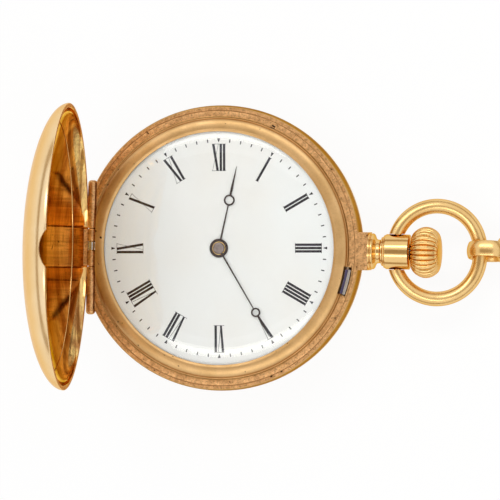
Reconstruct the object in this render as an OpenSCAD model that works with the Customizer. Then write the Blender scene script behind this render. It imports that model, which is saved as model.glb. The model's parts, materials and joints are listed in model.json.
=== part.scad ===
/* [Case] */
// Outer radius of the lid and the back cover
case_r = 18; // [17.5:0.25:20]
// Height of the back cover, from its resting flat to the band
back_h = 4.6; // [4.4:0.1:5.4]
// Height of the band between the back and the lid
band_h = 3.3; // [3.2:0.1:3.8]
// How far the band swells out past the covers
band_bulge = 0.1; // [0:0.05:0.3]
// Wall of the lid and of the back
shell_t = 0.6; // [0.4:0.05:0.8]
// Radius of the flat that the watch rests on
foot_r = 6; // [4:0.5:8]
// Width of the matt rim between the bezel and the edge
rim_w = 1.4; // [1.3:0.1:1.8]
// Width of the bezel, from its outer edge to the glass
bezel_w = 1.8; // [1.6:0.1:2.2]
// Height of the bezel over the rim
bezel_h = 0.6; // [0.5:0.05:0.9]
// Thickness of the glass
glass_t = 0.32; // [0.25:0.01:0.32]
// Height that the glass domes over its edge
glass_rise = 0.85; // [0.6:0.05:1.2]
// Height of the inner dust cover's dome
cuvette_h = 2.75; // [2.5:0.05:3]
// Sheet of the inner dust cover
cuvette_t = 0.35; // [0.25:0.05:0.4]

/* [Lid] */
// Height of the lid's dome
lid_h = 4.9; // [4.4:0.1:5.6]
// How far the lid stands open, in degrees from shut
lid_open = 86.8; // [60:0.2:87.2]
// Half width of the notch for the pendant
notch_half_w = 2.28; // [1.8:0.02:2.6]
// Depth of the notch for the pendant
notch_depth = 0.9; // [0.5:0.05:1.2]

/* [Hinges] */
// Distance of the hinge axes inside the outer radius
hinge_inset = 1.4; // [1.2:0.05:1.6]
// Radius of the hinge tubes
barrel_r = 0.6; // [0.5:0.02:0.65]
// Radius of the hinge pins
hinge_pin_r = 0.25; // [0.15:0.01:0.3]
// Length of the front hinge over its tubes
front_hinge_len = 17.1; // [14:0.1:18]
// Length of the lid's own tube in the middle
lid_tube_len = 4.75; // [4:0.05:6]
// Length of the back hinge over its tubes
back_hinge_len = 13; // [12:0.1:14]
// Width of the steel finger of the lift spring
finger_w = 1; // [0.8:0.05:1.2]

/* [Pendant and crown] */
// Radius of the pendant's block and collar
pendant_r = 2.3; // [2.1:0.05:2.5]
// Radius of the pendant's waist
waist_r = 1.55; // [1.4:0.05:1.8]
// Radius of the pendant's tube
tube_r = 2.22; // [2:0.02:2.3]
// Length of the pendant beyond the band
pendant_len = 6.2; // [6:0.1:7]
// Largest radius of the crown
crown_r = 3.23; // [2.9:0.01:3.4]
// Length of the crown
crown_len = 3.65; // [3.4:0.05:3.9]
// Number of flutes round the crown
flutes = 28; // [20:1:32]
// Depth of a flute
flute_d = 0.15; // [0.08:0.01:0.2]
// Width of a flute
flute_w = 0.2; // [0.12:0.01:0.24]
// How far the crown pushes in to free the lid
crown_push = 0.3; // [0.2:0.02:0.32]
// Radius of the winding stem
stem_r = 0.5; // [0.45:0.01:0.52]

/* [Bow and chain] */
// Radius of the bow's wire
bow_wire_r = 0.93; // [0.8:0.01:1]
// Radius of the bow's bends, to the middle of the wire
bow_bend_r = 5.5; // [5.3:0.05:6]
// Half of the bow's straight stretch
bow_half_flat = 0.37; // [0.2:0.01:0.6]
// Angle that the bow hangs down, in degrees
bow_drop = 18; // [10:1:18]
// Length of a chain link
link_len = 5.3; // [5.2:0.1:6]
// Height of a chain link
link_h = 4.7; // [4.7:0.1:5.1]
// Thickness of a chain link
link_t = 0.7; // [0.5:0.05:0.7]
// Width of a chain link's band
link_w = 1.8; // [1.5:0.05:1.9]
// Lean of the first link, in degrees from upright
link_lean = 12; // [8:1:16]

/* [Dial and hands] */
// Turn of the dial in the case, in degrees
dial_turn = 1.3; // [-3:0.1:3]
// Depth of the dial's seat under the rim
dial_drop = 0.5; // [0.45:0.01:0.6]
// Copper sheet under the enamel
dial_base_t = 0.2; // [0.15:0.01:0.22]
// Enamel of the dial
enamel_t = 0.32; // [0.25:0.01:0.34]
// Angle of the hour hand past twelve, in degrees
hour_angle = 12.7; // [0:0.1:359]
// Angle of the minute hand past twelve, in degrees
minute_angle = 149.7; // [0:0.1:359]
// Distance of the hour hand's tip inside the glass opening
hour_short = 4.2; // [3.3:0.1:5.5]
// Distance of the hour hand's ring behind its tip
hour_ring_back = 4.37; // [3.8:0.01:5]
// Outer radius of the hour hand's ring
hour_ring_r = 0.7; // [0.5:0.02:0.9]
// Distance of the minute hand's tip inside the glass opening
minute_short = 1.8; // [1.4:0.1:2.8]
// Distance of the minute hand's ring behind its tip
minute_ring_back = 3.58; // [3:0.01:4.2]
// Outer radius of the minute hand's ring
minute_ring_r = 0.6; // [0.45:0.02:0.75]
// Radius of the hour hand's boss
boss_r = 1.19; // [1:0.01:1.3]
// Thickness of a hand
hand_t = 0.1; // [0.08:0.01:0.12]

/* [Movement] */
// Thickness of the main plate
plate_t = 0.75; // [0.6:0.05:0.8]
// Space under the dial for the motion work
motion_gap = 0.65; // [0.64:0.01:0.75]
// Space for the wheels between the plate and the bridges
train_gap = 1.25; // [1.24:0.01:1.4]
// Thickness of the bridges
bridge_t = 0.8; // [0.6:0.05:0.85]
// Depth of the stem under the dial's seat
stem_drop = 1.15; // [1.13:0.01:1.16]
// Radius of the barrel's drum, where the plate's radius is 144
drum_parts = 51; // [46:0.5:52]
// Radius of the balance, where the plate's radius is 144
balance_parts = 39; // [34:0.5:39.5]
// Radius of the escape wheel, where the plate's radius is 144
escape_parts = 20; // [18:0.5:21]
// Radius of a jewel
jewel_r = 0.45; // [0.35:0.01:0.5]
// Radius of a bridge screw's head
screw_head_r = 0.45; // [0.35:0.01:0.48]

/* [Fits] */
// Running clearance of a hinge tube on its pin
pin_clear = 0.03; // [0.02:0.01:0.05]
// Gap between neighbouring hinge tubes
tube_gap = 0.05; // [0.03:0.01:0.1]
// Gap between a cover and its seat
seat_gap = 0.02; // [0.01:0.01:0.05]
// General clearance of a piece in its pocket
fit = 0.05; // [0.03:0.01:0.08]

/* [Hidden] */
$fn = 96;
far = 60;
outside = 600;
arc_steps = 20;

seat_z = back_h + band_h;
dial_seat_z = seat_z - dial_drop;
dial_top_z = dial_seat_z + dial_base_t + enamel_t;
plate_floor_z = dial_seat_z - motion_gap;
plate_z = plate_floor_z - plate_t;
bridge_hi_z = plate_z - train_gap;
bridge_z = bridge_hi_z - bridge_t;
winding_t = 0.3;
winding_z = bridge_z - fit - winding_t;
stem_z = dial_seat_z - stem_drop;
bezel_top_z = seat_z + bezel_h;
glass_z = dial_top_z + 0.1;

bezel_r = case_r - rim_w;
glass_r = bezel_r - bezel_w;
skirt_in_r = glass_r + 0.25;
skirt_out_r = skirt_in_r + 0.32;
skirt_bore_r = skirt_out_r + 0.03;
dial_r = glass_r + fit;
flange_r = dial_r + fit;
plate_r = glass_r - 0.4;
// Unit of the movement's layout, so that its wheels and bridges grow with the plate
grid = plate_r / 144;
case_bore_r = plate_r + 2 * fit;
clamp_r = case_bore_r + 0.7;
shoulder_z = dial_seat_z - 0.3;
clamp_z = back_h + 0.6;
ledge_z = seat_z - 0.15;
foot_scale = sqrt(1 - pow(foot_r / case_r, 2));
back_dome_h = back_h / foot_scale;

hinge_x = -(case_r - hinge_inset);
lid_hinge_z = seat_z - barrel_r - seat_gap;
back_hinge_z = back_h + barrel_r + seat_gap;
band_flat_x = hinge_x - 0.75 * barrel_r;
cover_flat_x = hinge_x - 0.95;
lid_tube_mid_y = -0.25;
finger_mid_y = -0.05;
leaf_t = 0.42;
back_tube_in = 3;
back_tube_out = 5;
cuvette_half = 1.35;
cuvette_r = case_r - shell_t - 0.5;

lock_out_r = bezel_r + fit;
lock_t = 0.55;
lock_foot_a = -76;
lock_tip_a = -3.2;
nose_a0 = -8.1;
nose_a1 = -18.8;
lock_hi_z = shoulder_z - 0.3;
lock_lo_z = lock_hi_z - 1.15;
hook_r = lock_out_r + 0.55;
hook_t = 0.22;
lip_r = hook_r - 0.16;
lip_h = 0.25;
hook_z = seat_z + seat_gap + lip_h + 0.1;
collar_x = lock_out_r + 0.07;
collar_t = 0.38;

lift_out_r = skirt_bore_r + 0.55;
lift_t = 0.45;
lift_lo_z = plate_z - 0.1;
lift_hi_z = lift_lo_z + 0.95;
lift_foot_a = 95;

collar_big_r = 1.2;
pendant_x = case_r + band_bulge;
pendant_end = case_r + pendant_len;
bow_x = pendant_end - 1.54;
sleeve_r = 1;
sleeve_end = pendant_end - 0.6;
crown_x = pendant_end + crown_push + 0.05;
crown_end = crown_x + crown_len;
crown_left_r = 0.665 * crown_r;
crown_right_r = 0.588 * crown_r;
crown_bulge_r = 0.628 * crown_r;
crown_ring_r = crown_r - crown_bulge_r;
crown_mid = crown_x + sqrt(pow(crown_bulge_r, 2) - pow(crown_left_r - crown_ring_r, 2));

bow_mid = bow_bend_r - 0.485;
bow_far = bow_mid + bow_bend_r;
bow_pin_r = 0.45;
bow_cut = tube_r + 0.13;
wire_x = bow_x + bow_far * cos(bow_drop);
wire_z = stem_z - bow_far * sin(bow_drop);
link_1_x = wire_x - bow_wire_r - fit - link_t;
link_2_x = link_1_x + link_len - 2 * link_t - 0.25;
link_2_shift = 0.2;

motion_m = 1.6 * grid;
cannon_n = 10;
minute_n = 30;
minute_leaf_n = 8;
hour_n = 32;
motion_d = (cannon_n + minute_n) / 2 * motion_m;
minute_wheel_a = 200;
cannon_z = plate_floor_z + 0.07;
cannon_teeth_t = 0.26;
hour_wheel_z = cannon_z + cannon_teeth_t + 0.06;
hour_wheel_t = 0.18;
cannon_r = 0.45;
arbor_r = 0.25;
hour_pipe_r = 0.85;
hour_hand_z = dial_top_z + 0.12;
minute_hand_z = hour_hand_z + hand_t + 0.08;
hour_len = glass_r - hour_short;
hour_ring_at = hour_len - hour_ring_back;
minute_len = glass_r - minute_short;
minute_ring_at = minute_len - minute_ring_back;

train_m = 1.4 * grid;
barrel_n = 78;
centre_leaf_n = 10;
centre_n = 64;
third_leaf_n = 8;
third_m = 1.15 * grid;
third_n = 60;
fourth_leaf_n = 8;
fourth_m = 0.9 * grid;
fourth_n = 70;
escape_leaf_n = 7;
escape_n = 15;
winding_m = 1.8 * grid;
drum_r = drum_parts * grid;
balance_r = balance_parts * grid;
escape_r = escape_parts * grid;
ratchet_n = 52;
crown_wheel_n = 32;
face_n = 24;
winding_n = 10;
winding_r = 1;
face_r = 20.5 * grid;
face_w = 0.4;

crown_wheel_x = 96 * grid;
barrel_d = (barrel_n + centre_leaf_n) / 2 * train_m;
winding_d = (ratchet_n + crown_wheel_n) / 2 * winding_m;
barrel_a = acos((pow(crown_wheel_x, 2) + pow(barrel_d, 2) - pow(winding_d, 2))
    / (2 * crown_wheel_x * barrel_d));
third_a = 190;
fourth_a = -55;
escape_a = -45;
pallet_d = 1.25 * escape_r;
balance_d = 31.3 * grid;
function polar(d, a) = [d * cos(a), d * sin(a)];
function angle_of(p) = atan2(p[1], p[0]);
barrel_at = polar(barrel_d, barrel_a);
third_at = polar((centre_n + third_leaf_n) / 2 * train_m, third_a);
fourth_at = third_at + polar((third_n + fourth_leaf_n) / 2 * third_m, fourth_a);
escape_at = fourth_at + polar((fourth_n + escape_leaf_n) / 2 * fourth_m, escape_a);
pallet_at = escape_at + polar(pallet_d, 2);
balance_at = pallet_at + polar(balance_d, 2);
balance_a = angle_of(balance_at);
minute_at = polar(motion_d, minute_wheel_a);
pinion_x = crown_wheel_x + face_r;
ring_in_r = plate_r - 9 * grid;
foot_hi_r = ring_in_r - fit;
foot_lo_r = foot_hi_r - 10 * grid;
screw_at_r = foot_hi_r - 5.5 * grid;
screw_shank_r = 0.25;

centre_wheel_z = bridge_hi_z + 0.07;
wheel_t = 0.13;
barrel_z = centre_wheel_z + wheel_t + 0.1;
barrel_top_z = plate_z - 0.12;
barrel_teeth_t = 0.4;
cover_t = 0.12;
third_wheel_z = plate_z - 0.4;
fourth_wheel_z = plate_z - 0.85;
balance_z = bridge_z + 0.35;
balance_t = 0.4;
cock_z = bridge_z - 0.6;
cock_t = 0.5;
hairspring_z = cock_z + cock_t + 0.07;
roller_z = plate_z - 0.75;
fork_z = plate_z - 0.42;
fork_t = 0.14;
face_tip_z = stem_z - winding_r + 0.1;
pivot_r = 0.09;
staff_r = 0.14;
barrel_arbor_r = 0.4;
dial_foot_r = 0.35;
pilot_r = 0.22;
square_half = 0.3;
core_r = 0.9;
core_screw_r = 0.5;
case_screw_r = 0.35;
case_screw_head_r = 0.58;
case_screw_head_t = 0.35;
minute_post_r = 0.2;
pallet_screw_r = 0.2;
click_post_r = 0.19;
click_spring_post_r = 0.14;
pinion_bore_r = 0.45;
pinion_t = 0.7;
small_fit = 0.02;
screw_end_z = plate_z + 0.45;

bridge_screw_angles = [25, 78, 130];
train_screw_angles = [182, 240];
case_screw_angles = [62, 238];
dial_foot_angles = [35, 150, 270];
split_y = -13;
bridge_jewels = [third_at, fourth_at, escape_at];
train_pivots = [third_at, fourth_at, escape_at, pallet_at, balance_at];
balance_foot_r = max(foot_lo_r, norm(balance_at) + balance_r + 0.15);
pallet_screw_at = pallet_at + grid * [6, -28];
click_at = barrel_at + polar(ratchet_n * winding_m / 2 + 11.5 * grid, 140);
click_spring_at = click_at + grid * [-26, 4];

function ellipse(a, b, z, side, first = 0) = [
    for (i = [0 : arc_steps]) let (t = first + (90 - first) * i / arc_steps)
        [max(0, a * cos(t)), z + side * b * sin(t)]
];
function reversed(points) = [for (i = [len(points) - 1 : -1 : 0]) points[i]];

module ring(r_out, r_in, z0, z1) {
    difference() {
        translate([0, 0, z0]) cylinder(r = r_out, h = z1 - z0);
        translate([0, 0, z0 - 1]) cylinder(r = r_in, h = z1 - z0 + 2);
    }
}

module disc(r, z0, z1) {
    translate([0, 0, z0]) cylinder(r = r, h = z1 - z0);
}

module sector(r_out, r_in, z0, z1, a0, a1) {
    rotate([0, 0, a0]) rotate_extrude(angle = a1 - a0)
        translate([r_in, z0]) square([r_out - r_in, z1 - z0]);
}

module block(low, high) {
    translate(low) cube(high - low);
}

module along_x(x0, x1, r, z) {
    translate([x0, 0, z]) rotate([0, 90, 0]) cylinder(r = r, h = x1 - x0);
}

module along_y(x, z, r, y0, y1) {
    translate([x, y0, z]) rotate([-90, 0, 0]) cylinder(r = r, h = y1 - y0);
}

module at(p) {
    translate([p[0], p[1], 0]) children();
}

function tooth_points(n, m, high, deep, root, tip) = [
    for (i = [0 : n - 1], k = [0 : 3])
        let (a = 360 / n * (i + [-root, -tip, tip, root][k] / 2),
             r = n * m / 2 + ((k == 1 || k == 2) ? high * m : -deep * m))
        [r * cos(a), r * sin(a)]
];

module gear(n, m, z0, z1, turn) {
    translate([0, 0, z0]) rotate([0, 0, turn]) linear_extrude(height = z1 - z0)
        polygon(tooth_points(n, m, 0.75, 1.1, 0.5, 0.2));
}

module spoked_gear(n, m, z, turn, hub_r) {
    rim_in = n * m / 2 - 3.6 * m;
    difference() {
        gear(n, m, z, z + wheel_t, turn);
        difference() {
            disc(rim_in, z - 1, z + 1);
            disc(hub_r, z - 2, z + 2);
            for (i = [0 : 3]) rotate([0, 0, 90 * i])
                block([0, -0.16, z - 2], [rim_in + 1, 0.16, z + 2]);
        }
        disc(staff_r, z - 1, z + 1);
    }
}

module lid_pose() {
    translate([hinge_x, 0, lid_hinge_z]) rotate([0, -lid_open, 0])
        translate([-hinge_x, 0, -lid_hinge_z]) children();
}

module cover_dome(z, height, side, cut_z) {
    inner_h = height - shell_t;
    rotate_extrude() difference() {
        polygon(concat([[0, z]], ellipse(case_r, height, z, side)));
        intersection() {
            polygon(concat([[0, z]], ellipse(case_r - shell_t, inner_h, z, side)));
            translate([0, cut_z]) square([case_r, far]);
        }
    }
}

module hinge_flat(x) {
    block([x - 10, -far, -far], [x, far, far]);
}

module case_section() {
    swell = [for (i = [0 : 8]) let (t = -90 + 180 * i / 8)
        [case_r - 0.15 + (band_bulge + 0.15) * cos(t), back_h + band_h * (1 + sin(t)) / 2]];
    polygon(concat([[clamp_r, back_h]], swell, [
        [bezel_r + fit, seat_z], [bezel_r + fit, ledge_z], [skirt_bore_r, ledge_z],
        [skirt_bore_r, shoulder_z], [case_bore_r, shoulder_z], [case_bore_r, clamp_z],
        [clamp_r, clamp_z]
    ]));
}

module case_middle() {
    spring_slot_y0 = finger_mid_y - finger_w / 2 - 3 * fit;
    spring_slot_y1 = finger_mid_y + finger_w / 2 + 3 * fit;
    color("darkgoldenrod") difference() {
        rotate_extrude() case_section();
        block([band_flat_x - 10, -far, back_h - 1], [band_flat_x, far, seat_z + 1]);
        along_y(hinge_x, lid_hinge_z, barrel_r + fit / 2, -far, far);
        block([hinge_x - 2, -far, lid_hinge_z], [hinge_x + barrel_r + fit / 2, far, seat_z + 1]);
        along_y(hinge_x, back_hinge_z, barrel_r + fit / 2, -far, far);
        block([hinge_x - 2, -far, back_h - 1], [hinge_x + barrel_r + fit / 2, far, back_hinge_z]);
        sector(lock_out_r + 0.3, case_bore_r - 1, lock_lo_z - 2 * fit, lock_hi_z + 2 * fit,
            lock_foot_a - 4, 4);
        sector(hook_r + fit, lock_out_r - lock_t - fit, shoulder_z - 1, seat_z + 1,
            nose_a1 - 0.6, nose_a0 + 1.2);
        sector(lift_out_r + 2 * fit, case_bore_r - 1, lift_lo_z - 2 * fit, lift_hi_z + 2 * fit,
            lift_foot_a - 3, 184);
        block([hinge_x, spring_slot_y0, lift_lo_z - 2 * fit],
            [-skirt_bore_r + fit, spring_slot_y1, seat_z + 1]);
        along_x(case_bore_r - 1, case_r + 2, collar_big_r + 2 * fit, stem_z);
    }
}

module case_joint_tubes() {
    front_half = front_hinge_len / 2;
    color("goldenrod") {
        for (side = [-1, 1]) tube_between(lid_hinge_z,
            side > 0 ? lid_tube_mid_y + lid_tube_len / 2 : -front_half + lid_tube_mid_y,
            side > 0 ? front_half + lid_tube_mid_y : lid_tube_mid_y - lid_tube_len / 2,
            hinge_pin_r);
        for (side = [-1, 1]) {
            tube_between(back_hinge_z, side > 0 ? back_tube_out : -back_hinge_len / 2,
                side > 0 ? back_hinge_len / 2 : -back_tube_out, hinge_pin_r);
            tube_between(back_hinge_z, side > 0 ? cuvette_half : -back_tube_in,
                side > 0 ? back_tube_in : -cuvette_half, hinge_pin_r);
        }
    }
}

module tube_between(z, y0, y1, bore_r) {
    difference() {
        along_y(hinge_x, z, barrel_r, y0 + tube_gap / 2, y1 - tube_gap / 2);
        along_y(hinge_x, z, bore_r, y0 - 1, y1 + 1);
    }
}

module front_hinge_pin() {
    half = front_hinge_len / 2 - 0.1;
    color("goldenrod")
        along_y(hinge_x, lid_hinge_z, hinge_pin_r, lid_tube_mid_y - half, lid_tube_mid_y + half);
}

module back_hinge_pin() {
    half = back_hinge_len / 2 - 0.1;
    color("goldenrod") along_y(hinge_x, back_hinge_z, hinge_pin_r, -half, half);
}

module bezel_section() {
    crest_r = glass_r + 0.3;
    arc = [for (i = [0 : 10]) let (t = 90 * i / 10)
        [crest_r + (bezel_r - crest_r) * cos(t), ledge_z + 0.25 + (bezel_top_z - ledge_z - 0.25) * sin(t)]];
    polygon(concat([
        [skirt_in_r, shoulder_z + 2 * fit], [skirt_out_r, shoulder_z + 2 * fit],
        [skirt_out_r, ledge_z], [bezel_r, ledge_z]
    ], arc, [
        [crest_r - 0.12, bezel_top_z - 0.08], [glass_r, bezel_top_z - 0.08],
        [glass_r, glass_z + glass_t + fit / 2], [skirt_in_r, glass_z + glass_t + fit / 2]
    ]));
}
module bezel() {
    color("gold") difference() {
        rotate_extrude() bezel_section();
        block([hinge_x - 10, -far, seat_z - 5], [hinge_x + barrel_r + fit, far, seat_z + 5]);
        block([hinge_x, finger_mid_y - finger_w / 2 - 2 * fit, seat_z - 5],
            [-skirt_bore_r - fit, finger_mid_y + finger_w / 2 + 2 * fit, seat_z - fit]);
        sector(far, lock_out_r - lock_t - fit, seat_z - 5, seat_z + 5, nose_a1 - 0.6, nose_a0 + 1.2);
    }
}

module crystal() {
    edge_r = skirt_in_r - fit / 2;
    dome_r = glass_r - 0.15;
    inner_r = dome_r - glass_t;
    upper = ellipse(dome_r, glass_rise, glass_z + glass_t, 1);
    lower = reversed(ellipse(inner_r, glass_rise, glass_z, 1));
    color([0.8, 0.9, 0.95, 0.4]) rotate_extrude() polygon(concat(
        [[edge_r, glass_z], [edge_r, glass_z + glass_t]], upper, lower));
}

module lift_spring() {
    sector_in = hinge_pin_r + 0.07;
    y0 = finger_mid_y - finger_w / 2;
    y1 = finger_mid_y + finger_w / 2;
    arm_x = hinge_x + barrel_r;
    color("silver") difference() {
        union() {
            sector(lift_out_r, lift_out_r - lift_t, lift_lo_z, lift_hi_z, lift_foot_a, 178);
            intersection() {
                translate([hinge_x, y1, lid_hinge_z]) rotate([90, 0, 0])
                    cylinder(r = barrel_r - 0.03, h = finger_w);
                block([hinge_x - barrel_r, y0, lid_hinge_z], [arm_x, y1, seat_z]);
            }
            block([arm_x - 0.2, y0, lid_hinge_z - 0.1], [-lift_out_r + lift_t, y1, ledge_z - 2 * fit]);
            block([-lift_out_r + 0.02, y0, lift_hi_z - 0.4],
                [-lift_out_r + lift_t, y1, ledge_z - 2 * fit]);
        }
        along_y(hinge_x, lid_hinge_z, sector_in, y0 - 1, y1 + 1);
    }
}

module lock_spring() {
    in_r = lock_out_r - lock_t;
    color("slategray") {
        sector(lock_out_r, in_r, lock_lo_z, lock_hi_z, lock_foot_a, lock_tip_a);
        sector(lock_out_r + 0.3, lock_out_r - 0.1, lock_hi_z - 0.3, hook_z, nose_a1, nose_a0);
        sector(hook_r, lock_out_r - 0.1, hook_z - 0.01, hook_z + hook_t, nose_a1, nose_a0);
    }
}

module case_screws() {
    r = plate_r - 0.3;
    color("steelblue") for (a = case_screw_angles) rotate([0, 0, a]) translate([r, 0, 0]) difference() {
        union() {
            disc(case_screw_head_r, clamp_z - case_screw_head_t, clamp_z);
            disc(case_screw_r, clamp_z - 0.1, plate_z + 0.5);
        }
        block([-1, -0.08, clamp_z - 1], [1, 0.08, clamp_z - 0.22]);
    }
}

module shut_lid() {
    base = seat_z + seat_gap;
    ball = (pow(notch_half_w, 2) + pow(notch_depth, 2)) / (2 * notch_depth);
    difference() {
        union() {
            cover_dome(base, lid_h, 1, base - 1);
            intersection() {
                sector(case_r - shell_t / 2, lip_r, base, base + lip_h, nose_a1 - 3, nose_a0 + 1.5);
                disc(case_r - 0.1, base, base + 1);
            }
        }
        hinge_flat(cover_flat_x);
        along_x(case_r / 2, case_r + 2, ball, base + notch_depth - ball);
    }
}

module front_lid() {
    color("goldenrod") lid_pose() shut_lid();
}

// The lid's tube has a slot in the middle, where the lift spring's finger reaches the pin
module front_lid_joint() {
    y0 = lid_tube_mid_y - lid_tube_len / 2;
    y1 = lid_tube_mid_y + lid_tube_len / 2;
    s0 = finger_mid_y - finger_w / 2 - fit;
    s1 = finger_mid_y + finger_w / 2 + fit;
    top = lid_hinge_z + barrel_r;
    reach = case_r - shell_t - 0.12;
    color("goldenrod") lid_pose() difference() {
        union() {
            tube_between(lid_hinge_z, y0, y1, hinge_pin_r + pin_clear);
            intersection() {
                block([-reach - 1, y0 + 0.1, top - 0.1], [hinge_x + 0.3, y1 - 0.1, top + leaf_t]);
                disc(reach, top - 1, top + 1);
            }
        }
        block([hinge_x - 2, s0, lid_hinge_z - 2], [hinge_x + 2, s1, top + fit]);
    }
}

module back_cover() {
    color("goldenrod") difference() {
        intersection() {
            cover_dome(back_h - seat_gap, back_dome_h, -1, shell_t - 0.1);
            disc(far, 0, back_h);
        }
        hinge_flat(cover_flat_x);
    }
}

module back_cover_joint() {
    low = back_hinge_z - barrel_r;
    reach = case_r - shell_t - 0.2;
    color("goldenrod") for (side = [-1, 1]) {
        y0 = side > 0 ? back_tube_in : -back_tube_out;
        y1 = side > 0 ? back_tube_out : -back_tube_in;
        tube_between(back_hinge_z, y0, y1, hinge_pin_r + pin_clear);
        intersection() {
            block([-reach - 1, y0 + tube_gap, low - leaf_t],
                [hinge_x + 0.3, y1 - tube_gap, low + 0.1]);
            disc(reach, low - 1, low + 1);
        }
    }
}

module cuvette() {
    rim_z = back_h - seat_gap;
    inner_h = cuvette_h - cuvette_t;
    color("khaki") difference() {
        rotate_extrude() difference() {
            polygon(concat([[0, rim_z]], ellipse(cuvette_r, cuvette_h, rim_z, -1)));
            polygon(concat([[0, rim_z]], ellipse(cuvette_r - cuvette_t, inner_h, rim_z, -1)));
        }
        for (side = [-1, 1]) translate([hinge_x - 1, side * (back_tube_in + back_tube_out) / 2, 0])
            block([-4, -back_tube_out / 2 + back_tube_in / 2 - 3 * fit, -1],
                [1.9, back_tube_out / 2 - back_tube_in / 2 + 3 * fit, back_h + 1]);
        block([-far, -cuvette_half - fit, -1], [hinge_x + 0.35, cuvette_half + fit, back_h + 1]);
    }
}

module cuvette_joint() {
    low = back_hinge_z - barrel_r;
    color("khaki") difference() {
        union() {
            tube_between(back_hinge_z, -cuvette_half, cuvette_half, hinge_pin_r + pin_clear);
            block([hinge_x - 0.3, -cuvette_half + tube_gap, low - cuvette_t],
                [hinge_x + 0.35, cuvette_half - tube_gap, low + 0.1]);
        }
        along_y(hinge_x, back_hinge_z, hinge_pin_r + pin_clear, -cuvette_half - 1, cuvette_half + 1);
    }
}

module pendant_section() {
    bead = case_r + 1.07;
    waist = bead + 0.6;
    tube = waist + 1.37;
    dip = [for (i = [0 : 8]) let (t = i / 8)
        [pendant_r - 0.12 - (pendant_r - 0.12 - waist_r) * sin(180 * pow(t, 0.85)) * (1 - 0.05 * t)
            - 0.14 * t, waist + (tube - waist) * t]];
    polygon(concat([[collar_big_r + 2 * fit, case_r - 0.5], [pendant_r, case_r - 0.5],
        [pendant_r, bead + 0.45], [pendant_r - 0.12, waist]], dip, [
        [tube_r - 0.12, tube], [tube_r, tube + 0.15], [tube_r, pendant_end - 0.1],
        [tube_r - 0.1, pendant_end], [sleeve_r + fit / 2, pendant_end],
        [sleeve_r + fit / 2, bead - 0.3], [collar_big_r + 2 * fit, bead - 0.3]
    ]));
}

module pendant() {
    bead = case_r + 1.07;
    color("darkgoldenrod") difference() {
        translate([0, 0, stem_z]) rotate([0, 90, 0]) rotate_extrude() pendant_section();
        disc(pendant_x + 0.01, back_h - 2, seat_z + 2);
        block([0, -far, seat_z], [bead, far, seat_z + 5]);
        block([0, -far, back_h - 5], [bead, far, back_h]);
        for (side = [-1, 1])
            along_y(bow_x, stem_z, bow_pin_r + fit / 2, side > 0 ? tube_r - 0.9 : -tube_r - 1,
                side > 0 ? tube_r + 1 : -tube_r + 0.9);
    }
}

module pendant_sleeve() {
    color("silver") difference() {
        along_x(case_r + 1.1, sleeve_end, sleeve_r, stem_z);
        along_x(case_r, pendant_end, stem_r + fit, stem_z);
    }
}

// Points of the crown's swelling side, from its inner face to its outer face
function crown_arc(r, past) = [
    for (i = [0 : 12])
        let (x = crown_x - past + (crown_len + 2 * past) * i / 12)
        [crown_ring_r + sqrt(max(0.01, pow(r, 2) - pow(x - crown_mid, 2))), x]
];

module crown() {
    groove = concat(reversed(crown_arc(crown_bulge_r - flute_d, 0.2)), [
        [crown_r + 1, crown_x - 0.2], [crown_r + 1, crown_end + 0.2]
    ]);
    color("gold") translate([0, 0, stem_z]) difference() {
        union() {
            rotate([0, 90, 0]) rotate_extrude()
                polygon(concat([[0, crown_end], [0, crown_x]], crown_arc(crown_bulge_r, 0)));
            along_x(crown_end - 0.1, crown_end + 0.12, crown_right_r - 0.35, 0);
        }
        for (i = [0 : flutes - 1]) rotate([360 / flutes * i, 0, 0]) rotate([0, 90, 0])
            rotate([90, 0, 0]) translate([0, 0, -flute_w / 2])
                linear_extrude(height = flute_w) polygon(groove);
        along_x(crown_x - 1, crown_end - 0.9, stem_r - 0.04, 0);
    }
}

module stem() {
    pilot_x = pinion_x - 1.15;
    square_x = pinion_x + 0.65 + crown_push;
    color("lightsteelblue") {
        along_x(collar_x, collar_x + collar_t, collar_big_r, stem_z);
        along_x(square_x, crown_x - 0.46, stem_r, stem_z);
        along_x(crown_x - 0.5, crown_end - 0.95, stem_r - 0.05, stem_z);
        translate([0, 0, stem_z]) block([pinion_x - 0.6, -square_half, -square_half],
            [square_x + 0.1, square_half, square_half]);
        along_x(pilot_x, pinion_x - 0.55, pilot_r, stem_z);
    }
}

module bow_half_ring(side) {
    translate([bow_mid, side * bow_half_flat, 0]) rotate([0, 0, side > 0 ? 0 : 180])
        rotate_extrude(angle = 180) translate([bow_bend_r, 0]) circle(r = bow_wire_r, $fn = 48);
}

module bow() {
    color("gold") translate([bow_x, 0, stem_z]) rotate([0, bow_drop, 0]) {
        difference() {
            union() {
                bow_half_ring(1);
                bow_half_ring(-1);
                along_y(bow_far, 0, bow_wire_r, -bow_half_flat, bow_half_flat);
            }
            block([-far, -bow_cut, -far], [bow_mid, bow_cut, far]);
        }
        for (side = [-1, 1])
            along_y(0, 0, bow_pin_r, side > 0 ? tube_r - 0.85 : -bow_cut - 0.1,
                side > 0 ? bow_cut + 0.1 : -tube_r + 0.85);
    }
}

module link_section() {
    inner_r = link_h / 2 - link_t;
    edge_rise = link_h / 2 - 2 * inner_r + sqrt(pow(inner_r, 2) - pow(link_w / 2, 2));
    outer_r = (pow(link_w / 2, 2) + pow(edge_rise, 2)) / (2 * edge_rise);
    intersection() {
        translate([link_h / 2 - outer_r, 0]) circle(r = outer_r);
        translate([2 * inner_r, 0]) circle(r = inner_r);
    }
}

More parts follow.
